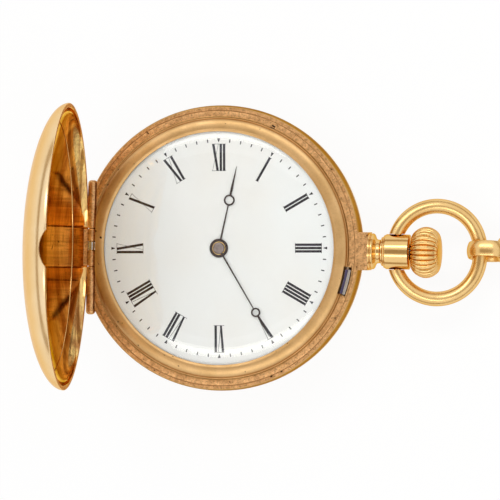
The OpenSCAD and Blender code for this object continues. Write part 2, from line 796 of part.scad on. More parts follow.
module link_loop() {
    half = (link_len - link_h) / 2;
    for (side = [-1, 1]) {
        translate([side * half, 0, 0]) rotate([0, 0, side > 0 ? -90 : 90])
            rotate_extrude(angle = 180) link_section();
        translate([-half, 0, 0]) rotate([90, 0, 90]) mirror([side > 0 ? 0 : 1, 0, 0])
            linear_extrude(height = 2 * half) link_section();
    }
}

module chain_link_1() {
    color("gold") translate([link_1_x + link_len / 2, 0, wire_z]) rotate([90 - link_lean, 0, 0])
        link_loop();
}

module chain_link_2() {
    color("gold") translate([link_2_x + link_len / 2, 0, wire_z]) rotate([-link_lean, 0, 0])
        translate([0, link_2_shift, 0]) link_loop();
}

module dial_enamel() {
    color("white") ring(dial_r, hour_pipe_r + 0.15, dial_seat_z + dial_base_t, dial_top_z);
}

module dial_base() {
    color("sienna") {
        ring(dial_r, hour_pipe_r + 0.15, dial_seat_z, dial_seat_z + dial_base_t);
        for (a = dial_foot_angles) rotate([0, 0, a]) translate([ring_in_r - 1.1, 0, 0])
            disc(dial_foot_r, plate_z, dial_seat_z + 0.1);
    }
}

module hand(hub_r, shaft_from, shaft_half, ring_at, ring_r, tip_at, blade_half, bore) {
    blade_from = ring_at + ring_r - 0.12;
    difference() {
        union() {
            circle(r = hub_r);
            translate([0, ring_at]) circle(r = ring_r);
            polygon([
                [1.5 * shaft_half, shaft_from], [shaft_half, ring_at - ring_r + 0.1],
                [-shaft_half, ring_at - ring_r + 0.1], [-1.5 * shaft_half, shaft_from]
            ]);
            polygon([
                [0.7 * blade_half, blade_from], [blade_half, blade_from + 0.9],
                [0.03, tip_at], [-0.03, tip_at],
                [-blade_half, blade_from + 0.9], [-0.7 * blade_half, blade_from]
            ]);
        }
        circle(r = bore);
        translate([0, ring_at + 0.05]) circle(r = ring_r - 0.24);
    }
}

module hour_hand() {
    color([0.2, 0.14, 0.12]) translate([0, 0, hour_hand_z])
        rotate([0, 0, dial_turn - hour_angle]) linear_extrude(height = hand_t)
            hand(boss_r, boss_r - 0.1, 0.1, hour_ring_at, hour_ring_r, hour_len, 0.17, hour_pipe_r);
}

module minute_hand() {
    color([0.2, 0.14, 0.12]) translate([0, 0, minute_hand_z])
        rotate([0, 0, dial_turn - minute_angle]) linear_extrude(height = hand_t)
            hand(hour_pipe_r - 0.1, 0.6, 0.09, minute_ring_at, minute_ring_r, minute_len, 0.15,
                cannon_r);
}

module cannon_pinion() {
    color("silver") difference() {
        union() {
            gear(cannon_n, motion_m, cannon_z, cannon_z + cannon_teeth_t, minute_wheel_a);
            disc(cannon_r, cannon_z, minute_hand_z + hand_t + 0.12);
        }
        disc(arbor_r, cannon_z - 1, minute_hand_z + hand_t - 0.1);
    }
}

module hour_wheel() {
    color("khaki") difference() {
        union() {
            gear(hour_n, motion_m, hour_wheel_z, hour_wheel_z + hour_wheel_t, minute_wheel_a);
            disc(hour_pipe_r, hour_wheel_z, hour_hand_z + hand_t);
        }
        disc(cannon_r + 0.03, hour_wheel_z - 1, hour_hand_z + 1);
    }
}

module minute_wheel() {
    color("khaki") at(minute_at) difference() {
        union() {
            gear(minute_n, motion_m, cannon_z + 0.02, cannon_z + cannon_teeth_t - 0.06,
                minute_wheel_a + 180 + 180 / minute_n);
            gear(minute_leaf_n, motion_m, cannon_z + 0.1, hour_wheel_z + hour_wheel_t - 0.02,
                minute_wheel_a + 180 + 180 / minute_leaf_n);
        }
        disc(minute_post_r + pin_clear, cannon_z - 1, cannon_z + 2);
    }
}

module pierce(points, r, z0, z1) {
    for (p = points) at(p) disc(r, z0, z1);
}

module main_plate() {
    pinion_pocket = winding_r + 0.25;
    color("lightgray") difference() {
        union() {
            disc(plate_r, plate_z, plate_floor_z);
            ring(plate_r, ring_in_r, clamp_z, dial_seat_z);
            ring(flange_r, ring_in_r, shoulder_z, dial_seat_z);
            at(minute_at) disc(minute_post_r, plate_floor_z - 0.1, hour_wheel_z + hour_wheel_t);
        }
        disc(arbor_r + 0.15, plate_z - 1, plate_floor_z + 1);
        pierce(train_pivots, pivot_r + 0.02, plate_z - 1, plate_floor_z + 1);
        at(barrel_at) disc(barrel_arbor_r + small_fit, plate_z - 1, plate_floor_z + 1);
        for (a = dial_foot_angles) rotate([0, 0, a]) translate([ring_in_r - 1.1, 0, 0])
            disc(dial_foot_r + fit, plate_z - 1, dial_seat_z + 1);
        block([pinion_x - 0.97, -pinion_pocket, plate_z - 1],
            [pinion_x + 0.62, pinion_pocket, dial_seat_z - fit]);
        along_x(pinion_x, plate_r + 2, stem_r + fit, stem_z);
        along_x(pinion_x - 1.5, pinion_x, pilot_r + pin_clear, stem_z);
        for (a = case_screw_angles) rotate([0, 0, a]) translate([plate_r - 0.3, 0, 0])
            disc(case_screw_r, clamp_z - 1, plate_z + 0.5);
        for (a = case_screw_angles)
            sector(plate_r + 1, ring_in_r - fit, clamp_z - 1, plate_z, a - 5, a + 5);
        screw_holes(concat(bridge_screw_angles, train_screw_angles, [balance_a]));
        at(pallet_screw_at) disc(pallet_screw_r, plate_z - 1, plate_z + 0.4);
        at([crown_wheel_x, 0]) disc(core_screw_r, plate_z - 1, plate_z + 0.3);
    }
}

module screw_holes(angles) {
    for (a = angles) rotate([0, 0, a]) translate([screw_at_r, 0, 0])
        disc(screw_shank_r, cock_z - 1, screw_end_z);
}

module bridge_plan(keep) {
    intersection() {
        circle(r = foot_hi_r - fit);
        polygon(grid * keep);
    }
}

module barrel_bridge() {
    color("lightgray") difference() {
        union() {
            translate([0, 0, bridge_z]) linear_extrude(height = bridge_t) bridge_plan([
                [-22, split_y], [26, split_y], [outside, split_y - 24], [outside, outside],
                [-outside, outside], [-outside, 46], [-22, 16]
            ]);
            sector(foot_hi_r, foot_lo_r, bridge_hi_z - 0.1, plate_z, 14, 145);
        }
        at([crown_wheel_x, 0]) disc(face_r + face_w / 2 + 0.2, bridge_z - 1, bridge_hi_z + 1);
        at(barrel_at) disc(barrel_arbor_r + small_fit, bridge_z - 1, bridge_hi_z + 1);
        disc(pivot_r + 0.02, bridge_z - 1, bridge_hi_z + 1);
        screw_holes(bridge_screw_angles);
        at(click_at) disc(click_post_r + small_fit, bridge_z - 1, bridge_z + 0.3);
        at(click_spring_at) disc(click_spring_post_r, bridge_z - 1, bridge_z + 0.3);
    }
}

module train_bridge() {
    clear_r = balance_r + 0.4;
    color("lightgray") difference() {
        union() {
            translate([0, 0, bridge_z]) linear_extrude(height = bridge_t) difference() {
                bridge_plan([
                    [-25, split_y - 3], [25, split_y - 3], [25, -outside], [-outside, -outside],
                    [-outside, 43], [-25, 13]
                ]);
                translate(balance_at) circle(r = clear_r);
            }
            sector(foot_hi_r, foot_lo_r, bridge_hi_z - 0.1, plate_z, 172, 262);
        }
        pierce(bridge_jewels, jewel_r, bridge_z - 1, bridge_z + 0.35);
        pierce(bridge_jewels, pivot_r + 0.03, bridge_z - 1, bridge_hi_z + 1);
        screw_holes(train_screw_angles);
    }
}

module balance_cock() {
    foot_half = 14 * grid;
    arm_half = 9 * grid;
    foot_end = foot_hi_r - 0.1;
    at_r = norm(balance_at);
    color("lightgray") difference() {
        rotate([0, 0, balance_a]) {
            translate([0, 0, cock_z]) linear_extrude(height = cock_t) {
                translate([at_r, 0]) circle(r = 13 * grid);
                polygon([[at_r, -arm_half], [foot_end - 0.1, -foot_half],
                    [foot_end - 0.1, foot_half], [at_r, arm_half]]);
            }
            block([balance_foot_r, -foot_half, cock_z], [foot_end, foot_half, plate_z]);
        }
        at(balance_at) disc(jewel_r, cock_z - 1, cock_z + 0.3);
        at(balance_at) disc(pivot_r + 0.03, cock_z - 1, cock_z + cock_t + 1);
        screw_holes([balance_a]);
    }
}
module pallet_cock() {
    z0 = fork_z - 0.5;
    color("lightgray") difference() {
        union() {
            translate([0, 0, z0]) linear_extrude(height = 0.35) union() {
                translate(pallet_at) circle(r = 0.45);
                translate(pallet_screw_at) circle(r = 0.6);
                polygon([pallet_at - [0.4, 0], pallet_at + [0.4, 0],
                    pallet_screw_at + [0.5, 0], pallet_screw_at - [0.5, 0]]);
            }
            at(pallet_screw_at) disc(0.6, z0, plate_z);
        }
        at(pallet_at) disc(pivot_r + 0.02, z0 - 1, z0 + 1);
        at(pallet_screw_at) disc(pallet_screw_r, z0 - 1, plate_z + 1);
    }
}

module slotted_screw(head_r, head_t, shank_r, z_head, z_end) {
    difference() {
        union() {
            disc(head_r, z_head - head_t, z_head);
            disc(shank_r, z_head - 0.1, z_end);
        }
        block([-1, -0.06, z_head - head_t - 1], [1, 0.06, z_head - head_t + 0.1]);
    }
}

module bridge_screws() {
    color("steelblue") {
        for (a = concat(bridge_screw_angles, train_screw_angles)) rotate([0, 0, a])
            translate([screw_at_r, 0, 0])
                slotted_screw(screw_head_r, 0.25, screw_shank_r, bridge_z, screw_end_z);
        rotate([0, 0, balance_a]) translate([screw_at_r, 0, 0])
            slotted_screw(screw_head_r, 0.15, screw_shank_r, cock_z, screw_end_z);
        at(pallet_screw_at) slotted_screw(0.4, 0.15, pallet_screw_r, fork_z - 0.5, plate_z + 0.4);
        at([crown_wheel_x, 0]) slotted_screw(1.3, 0.2, core_screw_r, winding_z - fit, plate_z + 0.3);
    }
}

module ratchet_screw() {
    color("steelblue") at(barrel_at) slotted_screw(0.9, 0.2, screw_shank_r, winding_z, bridge_z + 0.3);
}

module jewels() {
    color("crimson") {
        for (p = bridge_jewels) at(p) ring(jewel_r, pivot_r + 0.01, bridge_z, bridge_z + 0.35);
        at(balance_at) ring(jewel_r, pivot_r + 0.01, cock_z, cock_z + 0.3);
    }
}

module crown_wheel_core() {
    color("silver") at([crown_wheel_x, 0]) ring(core_r, core_screw_r, winding_z - fit, plate_z);
}

module barrel() {
    z1 = barrel_top_z;
    color("khaki") at(barrel_at) difference() {
        union() {
            disc(drum_r, barrel_z + cover_t, z1);
            gear(barrel_n, train_m, z1 - barrel_teeth_t, z1, barrel_a + 180 + 180 / barrel_n);
        }
        disc(drum_r - 0.35, barrel_z - 1, z1 - 0.15);
        disc(barrel_arbor_r + small_fit, barrel_z - 1, z1 + 1);
    }
}

module barrel_cover() {
    color("khaki") at(barrel_at) ring(drum_r, barrel_arbor_r + small_fit, barrel_z, barrel_z + cover_t);
}

module barrel_arbor() {
    color("silver") at(barrel_at) difference() {
        union() {
            disc(barrel_arbor_r, winding_z + fit, plate_floor_z - 0.1);
            disc(1.3, barrel_z + cover_t + fit, barrel_top_z - 0.15 - fit);
        }
        disc(screw_shank_r, winding_z - 1, bridge_z + 0.3);
    }
}

module mainspring() {
    z0 = barrel_z + cover_t + fit;
    z1 = barrel_top_z - 0.15 - fit;
    turns = 5;
    steps = 24;
    r0 = 1.45;
    r1 = drum_r - 0.45;
    t = 0.12;
    inner = [for (i = [0 : turns * steps]) let (a = 360 * i / steps)
        polar(r0 + (r1 - r0) * i / (turns * steps), a)];
    outer = [for (i = [turns * steps : -1 : 0]) let (a = 360 * i / steps)
        polar(r0 + t + (r1 - r0) * i / (turns * steps), a)];
    color("steelblue") at(barrel_at) translate([0, 0, z0]) linear_extrude(height = z1 - z0)
        polygon(concat(inner, outer));
}

module ratchet_wheel() {
    color("silver") at(barrel_at) difference() {
        gear(ratchet_n, winding_m, winding_z, winding_z + winding_t,
            angle_of([crown_wheel_x, 0] - barrel_at));
        disc(barrel_arbor_r, winding_z + fit, winding_z + 2);
        disc(screw_shank_r, winding_z - 1, winding_z + 2);
    }
}

module crown_wheel() {
    outer = face_r + face_w / 2;
    inner = face_r - face_w / 2;
    color("silver") at([crown_wheel_x, 0]) difference() {
        union() {
            gear(crown_wheel_n, winding_m, winding_z, winding_z + winding_t,
                angle_of(barrel_at - [crown_wheel_x, 0]) + 180 / crown_wheel_n);
            ring(outer, inner, winding_z + winding_t - 0.1, face_tip_z);
        }
        disc(core_r + small_fit, winding_z - 1, winding_z + 2);
        for (i = [0 : face_n - 1]) rotate([0, 0, 360 / face_n * i])
            block([inner - 0.5, -0.17, face_tip_z - 0.25], [outer + 0.5, 0.17, face_tip_z + 1]);
    }
}

module click() {
    beak = barrel_at + polar(ratchet_n * winding_m / 2 + 0.75 * winding_m + 0.06, 131);
    color("steelblue") difference() {
        union() {
            translate([0, 0, winding_z]) linear_extrude(height = winding_t) union() {
                translate(click_at) circle(r = 0.5);
                polygon([click_at + polar(0.45, 150), beak + polar(0.25, 131), beak,
                    click_at + polar(0.45, -60)]);
            }
            at(click_at) disc(click_post_r, winding_z, bridge_z + 0.29);
        }
        at(click_at) block([-0.3, -0.05, winding_z - 1], [0.3, 0.05, winding_z + 0.08]);
    }
}

module click_spring() {
    root = click_spring_at;
    span = click_at - root;
    color("silver") {
        translate([0, 0, winding_z + 0.06]) linear_extrude(height = 0.16) union() {
            translate(root) circle(r = 0.3);
            polygon([root + [0, 0.12], root + span * 0.55 + [0, 0.52], root + span * 0.78 + [0, 0.42],
                root + span * 0.78 + [0, 0.34], root + span * 0.55 + [0, 0.44], root - [0, 0.12]]);
        }
        at(root) disc(click_spring_post_r, winding_z + 0.1, bridge_z + 0.3);
    }
}

module winding_pinion() {
    color("silver") translate([pinion_x - 0.35, 0, stem_z]) rotate([0, 90, 0]) difference() {
        union() {
            gear(winding_n, 2 * winding_r / (winding_n + 1.5), 0, pinion_t, 0);
            disc(0.6, 0, pinion_t + 0.2);
        }
        disc(pinion_bore_r, -1, 2);
    }
}

module sliding_pinion() {
    color("silver") translate([pinion_x - 0.92, 0, stem_z]) rotate([0, 90, 0]) difference() {
        disc(0.8, 0, 0.52);
        disc(pinion_bore_r, -1, 2);
        for (i = [0 : 7]) rotate([0, 0, 45 * i]) block([0.6, -0.08, 0.35], [1, 0.08, 1]);
    }
}

module centre_wheel() {
    color("khaki") {
        spoked_gear(centre_n, train_m, centre_wheel_z, third_a, 0.9);
        difference() {
            union() {
                gear(centre_leaf_n, train_m, centre_wheel_z + wheel_t, plate_z - 0.05, barrel_a);
                disc(arbor_r, plate_z - 0.1, cannon_z + 1.2);
                disc(pivot_r, bridge_z + 0.1, bridge_hi_z + 0.2);
                disc(staff_r, centre_wheel_z, centre_wheel_z + 0.2);
            }
        }
    }
}

module third_wheel() {
    color("khaki") at(third_at) {
        spoked_gear(third_n, third_m, third_wheel_z, fourth_a, 0.6);
        gear(third_leaf_n, train_m, centre_wheel_z - 0.04, centre_wheel_z + wheel_t + 0.15,
            third_a + 180 + 180 / third_leaf_n);
        disc(staff_r, centre_wheel_z - 0.04, plate_z - 0.05);
        disc(pivot_r, bridge_z + 0.05, plate_floor_z - 0.1);
    }
}

module fourth_wheel() {
    color("khaki") at(fourth_at) {
        spoked_gear(fourth_n, fourth_m, fourth_wheel_z, escape_a, 0.5);
        gear(fourth_leaf_n, third_m, third_wheel_z - 0.12, plate_z - 0.1,
            fourth_a + 180 + 180 / fourth_leaf_n);
        disc(staff_r, bridge_hi_z + 0.1, plate_z - 0.05);
        disc(pivot_r, bridge_z + 0.05, plate_floor_z - 0.1);
    }
}

module escape_wheel() {
    teeth = [for (i = [0 : escape_n - 1], k = [0 : 3])
        let (a = 360 / escape_n * i + [0, 5, 8, 9][k],
             r = escape_r - [6, 0.3, 0, 6][k] * grid)
        [r * cos(a), r * sin(a)]];
    z = plate_z - 0.4;
    color("silver") at(escape_at) {
        translate([0, 0, z]) linear_extrude(height = wheel_t) difference() {
            polygon(teeth);
            for (i = [0 : 3]) rotate(45 + 90 * i) translate([8 * grid, 0])
                circle(r = 3.5 * grid);
        }
        gear(escape_leaf_n, fourth_m, fourth_wheel_z - 0.08, fourth_wheel_z + wheel_t + 0.1,
            escape_a + 180 + 180 / escape_leaf_n);
        disc(staff_r, bridge_hi_z + 0.1, plate_z - 0.05);
        disc(pivot_r, bridge_z + 0.05, plate_floor_z - 0.1);
    }
}

// The fork's slot is wide, because the fork and the balance are posed one at a time
module pallet_fork() {
    reach = balance_d / grid - 5.5;
    color("silver") at(pallet_at) rotate([0, 0, 2]) {
        translate([0, 0, fork_z]) linear_extrude(height = fork_t) union() {
            circle(r = 3.5 * grid);
            polygon(grid * [[0, -1.2], [reach - 7, -1], [reach - 3.5, -5.5], [reach + 1, -6],
                [reach + 1, -4.2], [reach - 2.5, -4], [reach - 4.5, 0], [reach - 2.5, 4],
                [reach + 1, 4.2], [reach + 1, 6], [reach - 3.5, 5.5], [reach - 7, 1], [0, 1.2]]);
            for (side = [-1, 1]) polygon(grid * [[1, side * 2], [-5.5, side * 13.5],
                [-7.5, side * 14.5], [-9, side * 13], [-3, side * 2]]);
        }
        disc(pivot_r, fork_z - 0.4, plate_floor_z - 0.1);
    }
}

module balance_wheel() {
    hub_z = balance_z + 0.1;
    color("khaki") at(balance_at) {
        ring(balance_r, balance_r - 0.45, balance_z, balance_z + balance_t);
        difference() {
            union() {
                block([-balance_r + 0.2, -0.22, hub_z], [balance_r - 0.2, 0.22, hub_z + 0.15]);
                disc(0.5, hub_z, hub_z + 0.15);
            }
            disc(staff_r, hub_z - 1, hub_z + 1);
        }
        disc(staff_r, cock_z + cock_t + 0.1, plate_z - 0.1);
        disc(pivot_r, cock_z + 0.1, plate_floor_z - 0.1);
    }
}

module balance_roller() {
    color("silver") at(balance_at) {
        ring(0.7, staff_r, roller_z, roller_z + 0.12);
        rotate([0, 0, balance_a]) at(polar(-5.5 * grid, 2 - balance_a))
            disc(0.07, roller_z + 0.06, fork_z + fork_t);
    }
}

module hairspring() {
    turns = 7;
    steps = 20;
    r0 = 0.32;
    r1 = 19 * grid;
    t = 0.05;
    inner = [for (i = [0 : turns * steps]) let (a = 360 * i / steps)
        polar(r0 + (r1 - r0) * i / (turns * steps), a)];
    outer = [for (i = [turns * steps : -1 : 0]) let (a = 360 * i / steps)
        polar(r0 + t + (r1 - r0) * i / (turns * steps), a)];
    color("steelblue") at(balance_at) {
        translate([0, 0, hairspring_z]) linear_extrude(height = 0.12) polygon(concat(inner, outer));
        ring(0.34, staff_r, hairspring_z, hairspring_z + 0.12);
    }
}

module regulator() {
    z1 = cock_z - fit;
    color("steelblue") at(balance_at) translate([0, 0, z1 - 0.15]) linear_extrude(height = 0.15)
        difference() {
            union() {
                circle(r = 0.85);
                rotate(balance_a + 150)
                    polygon(grid * [[0, -3], [30, -0.5], [32, 0], [30, 0.5], [0, 3]]);
            }
            circle(r = 0.55);
        }
}

case_middle();
case_joint_tubes();
pendant();
pendant_sleeve();
bezel();
crystal();
lift_spring();
lock_spring();
front_hinge_pin();
back_hinge_pin();
case_screws();
front_lid();
front_lid_joint();
back_cover();
back_cover_joint();
cuvette();
cuvette_joint();
crown();
stem();
bow();
chain_link_1();
chain_link_2();
dial_enamel();
dial_base();
hour_hand();
minute_hand();
cannon_pinion();
hour_wheel();
minute_wheel();
main_plate();
barrel_bridge();
train_bridge();
balance_cock();
pallet_cock();
bridge_screws();
jewels();
crown_wheel_core();
barrel();
barrel_cover();
barrel_arbor();
mainspring();
ratchet_wheel();
ratchet_screw();
crown_wheel();
click();
click_spring();
winding_pinion();
sliding_pinion();
centre_wheel();
third_wheel();
fourth_wheel();
escape_wheel();
pallet_fork();
balance_wheel();
balance_roller();
hairspring();
regulator();
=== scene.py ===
"""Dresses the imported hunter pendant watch: smooth meshes, finishes, lamps and the camera."""

import json
import logging
import math
from dataclasses import dataclass
from enum import Enum, IntEnum

import bmesh
import bpy
from mathutils import Matrix, Vector


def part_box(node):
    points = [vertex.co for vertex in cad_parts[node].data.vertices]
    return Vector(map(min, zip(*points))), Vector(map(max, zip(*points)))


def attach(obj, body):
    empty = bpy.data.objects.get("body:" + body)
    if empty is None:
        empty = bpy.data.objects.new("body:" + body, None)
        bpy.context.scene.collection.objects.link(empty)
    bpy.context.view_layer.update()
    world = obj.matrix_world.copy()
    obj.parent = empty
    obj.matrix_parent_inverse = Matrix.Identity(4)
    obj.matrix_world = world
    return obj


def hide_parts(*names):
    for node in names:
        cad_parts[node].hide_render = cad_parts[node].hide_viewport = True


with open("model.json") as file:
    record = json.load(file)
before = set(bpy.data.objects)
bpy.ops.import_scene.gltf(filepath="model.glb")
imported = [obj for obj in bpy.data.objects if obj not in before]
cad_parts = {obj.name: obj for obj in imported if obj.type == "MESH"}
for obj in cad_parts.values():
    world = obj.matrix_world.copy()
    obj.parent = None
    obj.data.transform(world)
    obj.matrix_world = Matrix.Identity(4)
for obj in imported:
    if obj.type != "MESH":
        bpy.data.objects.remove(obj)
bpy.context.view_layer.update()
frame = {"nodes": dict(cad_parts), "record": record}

# Metres in a millimetre: sizes are in millimetres unless a docstring says otherwise.
MM = 0.001
# Steps round the large turned pieces.
ROUND = 180
# A face counts as level when its normal's height is above this.
LEVEL = 0.9
LOG = logging.getLogger("hunter_watch")

Colour = tuple[float, float, float]
Point = tuple[float, float]
Place = tuple[float, float, float]
Socket = bpy.types.NodeSocket

ORIGIN: Place = (0.0, 0.0, 0.0)
EVEN: Place = (1.0, 1.0, 1.0)
WHITE: Colour = (1.0, 1.0, 1.0)


class Axis(Enum):
    """The line that a turned piece is spun about."""

    X = (1.0, 0.0, 0.0)
    Y = (0.0, 1.0, 0.0)
    Z = (0.0, 0.0, 1.0)


class Slot(Enum):
    """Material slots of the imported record."""

    GOLD = "case_gold"
    CUVETTE = "cuvette_metal"
    BRASS = "wheel_brass"
    COPPER = "copper"
    NICKEL = "nickel"
    STEEL = "steel"
    BLUE = "blued_steel"
    HAND = "hand_dark"
    ENAMEL = "enamel"
    RUBY = "ruby"
    CRYSTAL = "crystal"


class BandPart(IntEnum):
    """Parts of the band with a finish of their own, in the order of its material slots; the side's
    darker gold and the notch's near-black are painted shade.
    """

    EDGE = 0
    RIM = 1
    SIDE = 2
    GROOVE = 3
    # The pry notch's faces, painted near-black as shade.
    NOTCH_PAINTED_SHADE = 4


class NodeTree:
    """A node tree of a material or a world, with short calls for the nodes that they share."""

    def __init__(self, owner: bpy.types.Material | bpy.types.World,
                 output: str = "ShaderNodeOutputMaterial") -> None:
        """Empties the tree and gives it its output.

        Args:
            owner: The material or the world.
            output: Kind of its output node.
        """
        owner.use_nodes = True
        self.owner = owner
        self.nodes = owner.node_tree.nodes
        self.links = owner.node_tree.links
        self.nodes.clear()
        self.out = self.nodes.new(output)

    @classmethod
    def of_material(cls, name: str) -> "NodeTree":
        """The tree of a new material."""
        return cls(bpy.data.materials.new(name))

    def join(self, source: Socket, target: Socket) -> None:
        """Links one socket to another."""
        self.links.new(source, target)

    def mapping(self, stretch: Place) -> Socket:
        """Object coordinates, stretched along each axis.

        Args:
            stretch: Scale along each axis.

        Returns:
            The vector socket.
        """
        where = self.nodes.new("ShaderNodeTexCoord")
        node = self.nodes.new("ShaderNodeMapping")
        node.inputs["Scale"].default_value = stretch
        self.join(where.outputs["Object"], node.inputs["Vector"])
        return node.outputs["Vector"]

    def noise(self, vector: Socket, scale: float, detail: float = 3.0) -> Socket:
        """A noise pattern.

        Args:
            vector: Where it is read.
            scale: Its scale.
            detail: Its detail.

        Returns:
            The factor socket.
        """
        node = self.nodes.new("ShaderNodeTexNoise")
        node.inputs["Scale"].default_value = scale
        node.inputs["Detail"].default_value = detail
        self.join(vector, node.inputs["Vector"])
        return node.outputs["Fac"]

    def fit(self, value: Socket, low: float, high: float, to_low: float = 0.0,
            to_high: float = 1.0) -> Socket:
        """Stretches a value from one range to another, held at its ends.

        Args:
            value: The value.
            low: Lowest value read.
            high: Highest value read.
            to_low: What the lowest becomes.
            to_high: What the highest becomes.

        Returns:
            The result socket.
        """
        node = self.nodes.new("ShaderNodeMapRange")
        for name, amount in (("From Min", low), ("From Max", high), ("To Min", to_low),
                             ("To Max", to_high)):
            node.inputs[name].default_value = amount
        self.join(value, node.inputs["Value"])
        return node.outputs["Result"]

    def blend(self, factor: Socket, first: Colour | Socket, second: Colour) -> Socket:
        """Mixes two colours.

        Args:
            factor: Share of the second colour.
            first: First colour, or a socket that gives it.
            second: Second colour.

        Returns:
            The colour socket.
        """
        node = self.nodes.new("ShaderNodeMix")
        node.data_type = "RGBA"
        self.join(factor, node.inputs["Factor"])
        if isinstance(first, tuple):
            node.inputs[6].default_value = (*first, 1.0)
        else:
            self.join(first, node.inputs[6])
        node.inputs[7].default_value = (*second, 1.0)
        return node.outputs[2]

    def bump(self, height: Socket, strength: float, depth: float,
             under: Socket | None = None) -> Socket:
        """A bump from a height pattern.

        Args:
            height: The pattern.
            strength: Share of the bump that shows.
            depth: Depth of the pattern in millimetres.
            under: A bump that lies under this one.

        Returns:
            The normal socket.
        """
        node = self.nodes.new("ShaderNodeBump")
        node.inputs["Strength"].default_value = strength
        node.inputs["Distance"].default_value = depth * MM
        self.join(height, node.inputs["Height"])
        if under is not None:
            self.join(under, node.inputs["Normal"])
        return node.outputs["Normal"]

    def principled(self, **values: float | tuple) -> bpy.types.ShaderNodeBsdfPrincipled:
        """The surface shader, with constants set on its own sockets.

        Args:
            **values: Socket names, with _ for a space, and their values.

        Returns:
            The shader node.
        """
        shader = self.nodes.new("ShaderNodeBsdfPrincipled")
        for name, amount in values.items():
            shader.inputs[name.replace("_", " ")].default_value = amount
        return shader

    def glow(self, kind: str, tone: Colour, strength: float = 1.0) -> Socket:
        """A shader that gives light of its own.

        Args:
            kind: The node's kind, an emission or a world's background.
            tone: Its colour.
            strength: Its strength.

        Returns:
            The shader socket.
        """
        node = self.nodes.new(kind)
        node.inputs["Color"].default_value = (*tone, 1.0)
        node.inputs["Strength"].default_value = strength
        return node.outputs[0]

    def maths(self, operation: str, first: Socket, second: Socket | float) -> Socket:
        """Reckons with two values.

        Args:
            operation: What is done with them.
            first: The first value.
            second: The second value, or a socket that gives it.

        Returns:
            The result socket.
        """
        node = self.nodes.new("ShaderNodeMath")
        node.operation = operation
        self.join(first, node.inputs[0])
        if isinstance(second, float):
            node.inputs[1].default_value = second
        else:
            self.join(second, node.inputs[1])
        return node.outputs[0]

    def shown(self, share: float) -> Socket:
        """A factor that is on for camera rays and for the rays of metal and glass.

        Args:
            share: The factor for those rays.

        Returns:
            The factor socket.
        """
        rays = self.nodes.new("ShaderNodeLightPath")
        last = rays.outputs["Is Camera Ray"]
        for name in ("Is Glossy Ray", "Is Transmission Ray"):
            last = self.maths("MAXIMUM", last, rays.outputs[name])
        return self.maths("MULTIPLY", last, share)

    def mix(self, share: Socket, first: Socket, second: Socket) -> Socket:
        """Mixes two shaders.

        Args:
            share: Share of the second shader.
            first: The first shader.
            second: The second shader.

        Returns:
            The shader socket.
        """
        node = self.nodes.new("ShaderNodeMixShader")
        for source, target in ((share, "Fac"), (first, 1), (second, 2)):
            self.join(source, node.inputs[target])
        return node.outputs["Shader"]

    def close(self, surface: Socket) -> bpy.types.Material | bpy.types.World:
        """Ends the tree in a shader and gives its material or world."""
        self.join(surface, self.out.inputs["Surface"])
        return self.owner


@dataclass(frozen=True)
class Metal:
    """A worked metal: two tones, a wandering polish, fine scratches and small pits."""

    name: str
    tone: Colour
    shade: Colour
    rough: float
    rough_spread: float = 0.08
    patch: float = 260.0
    scratch: float = 0.12
    scratch_size: float = 9000.0
    run: Place = EVEN
    patch_run: Place = EVEN
    fleck: float = 0.0
    fleck_run: Place = EVEN
    grain: float = 0.0
    pits: float = 0.0
    dirt: Colour = (0.05, 0.022, 0.01)
    fleck_size: float = 4200.0
    fleck_dark: float = 0.45
    grain_size: float = 14000.0
    pit_size: float = 1500.0
    scratch_depth: float = 0.02
    grain_depth: float = 0.03
    least_rough: float = 0.02

    def build(self) -> bpy.types.Material:
        """Makes the material.

        Returns:
            The material.
        """
        tree = NodeTree.of_material(self.name)
        plain = tree.mapping(EVEN)
        # Stretched patches and flecks make the inside gold's streaks, which are painted reflections.
        patches = tree.noise(tree.mapping(self.patch_run), self.patch, 4.0)
        colour = tree.blend(tree.fit(patches, 0.38, 0.62), self.tone, self.shade)
        if self.fleck:
            marks = tree.noise(tree.mapping(self.fleck_run), self.fleck_size)
            deep = tuple(self.fleck_dark * part for part in self.shade)
            colour = tree.blend(tree.fit(marks, 0.48, 0.72, 0.0, self.fleck), colour, deep)
        lines = tree.noise(tree.mapping(self.run), self.scratch_size, 2.0)
        normal = tree.bump(lines, self.scratch, self.scratch_depth)
        if self.grain:
            specks = tree.noise(plain, self.grain_size, 2.0)
            normal = tree.bump(specks, self.grain, self.grain_depth, normal)
        if self.pits:
            spots = tree.noise(plain, self.pit_size, 1.0)
            marked = tree.fit(spots, 0.76 - self.pits, 0.79 - self.pits)
            colour = tree.blend(marked, colour, self.dirt)
        shader = tree.principled(Metallic=1.0, Specular_Tint=(*self.tone, 1.0))
        worn = tree.noise(plain, self.patch * 3.0)
        low = max(self.least_rough, self.rough - self.rough_spread)
        high = self.rough + self.rough_spread
        tree.join(colour, shader.inputs["Base Color"])
        tree.join(tree.fit(worn, 0.3, 0.7, low, high), shader.inputs["Roughness"])
        tree.join(normal, shader.inputs["Normal"])
        return tree.close(shader.outputs["BSDF"])


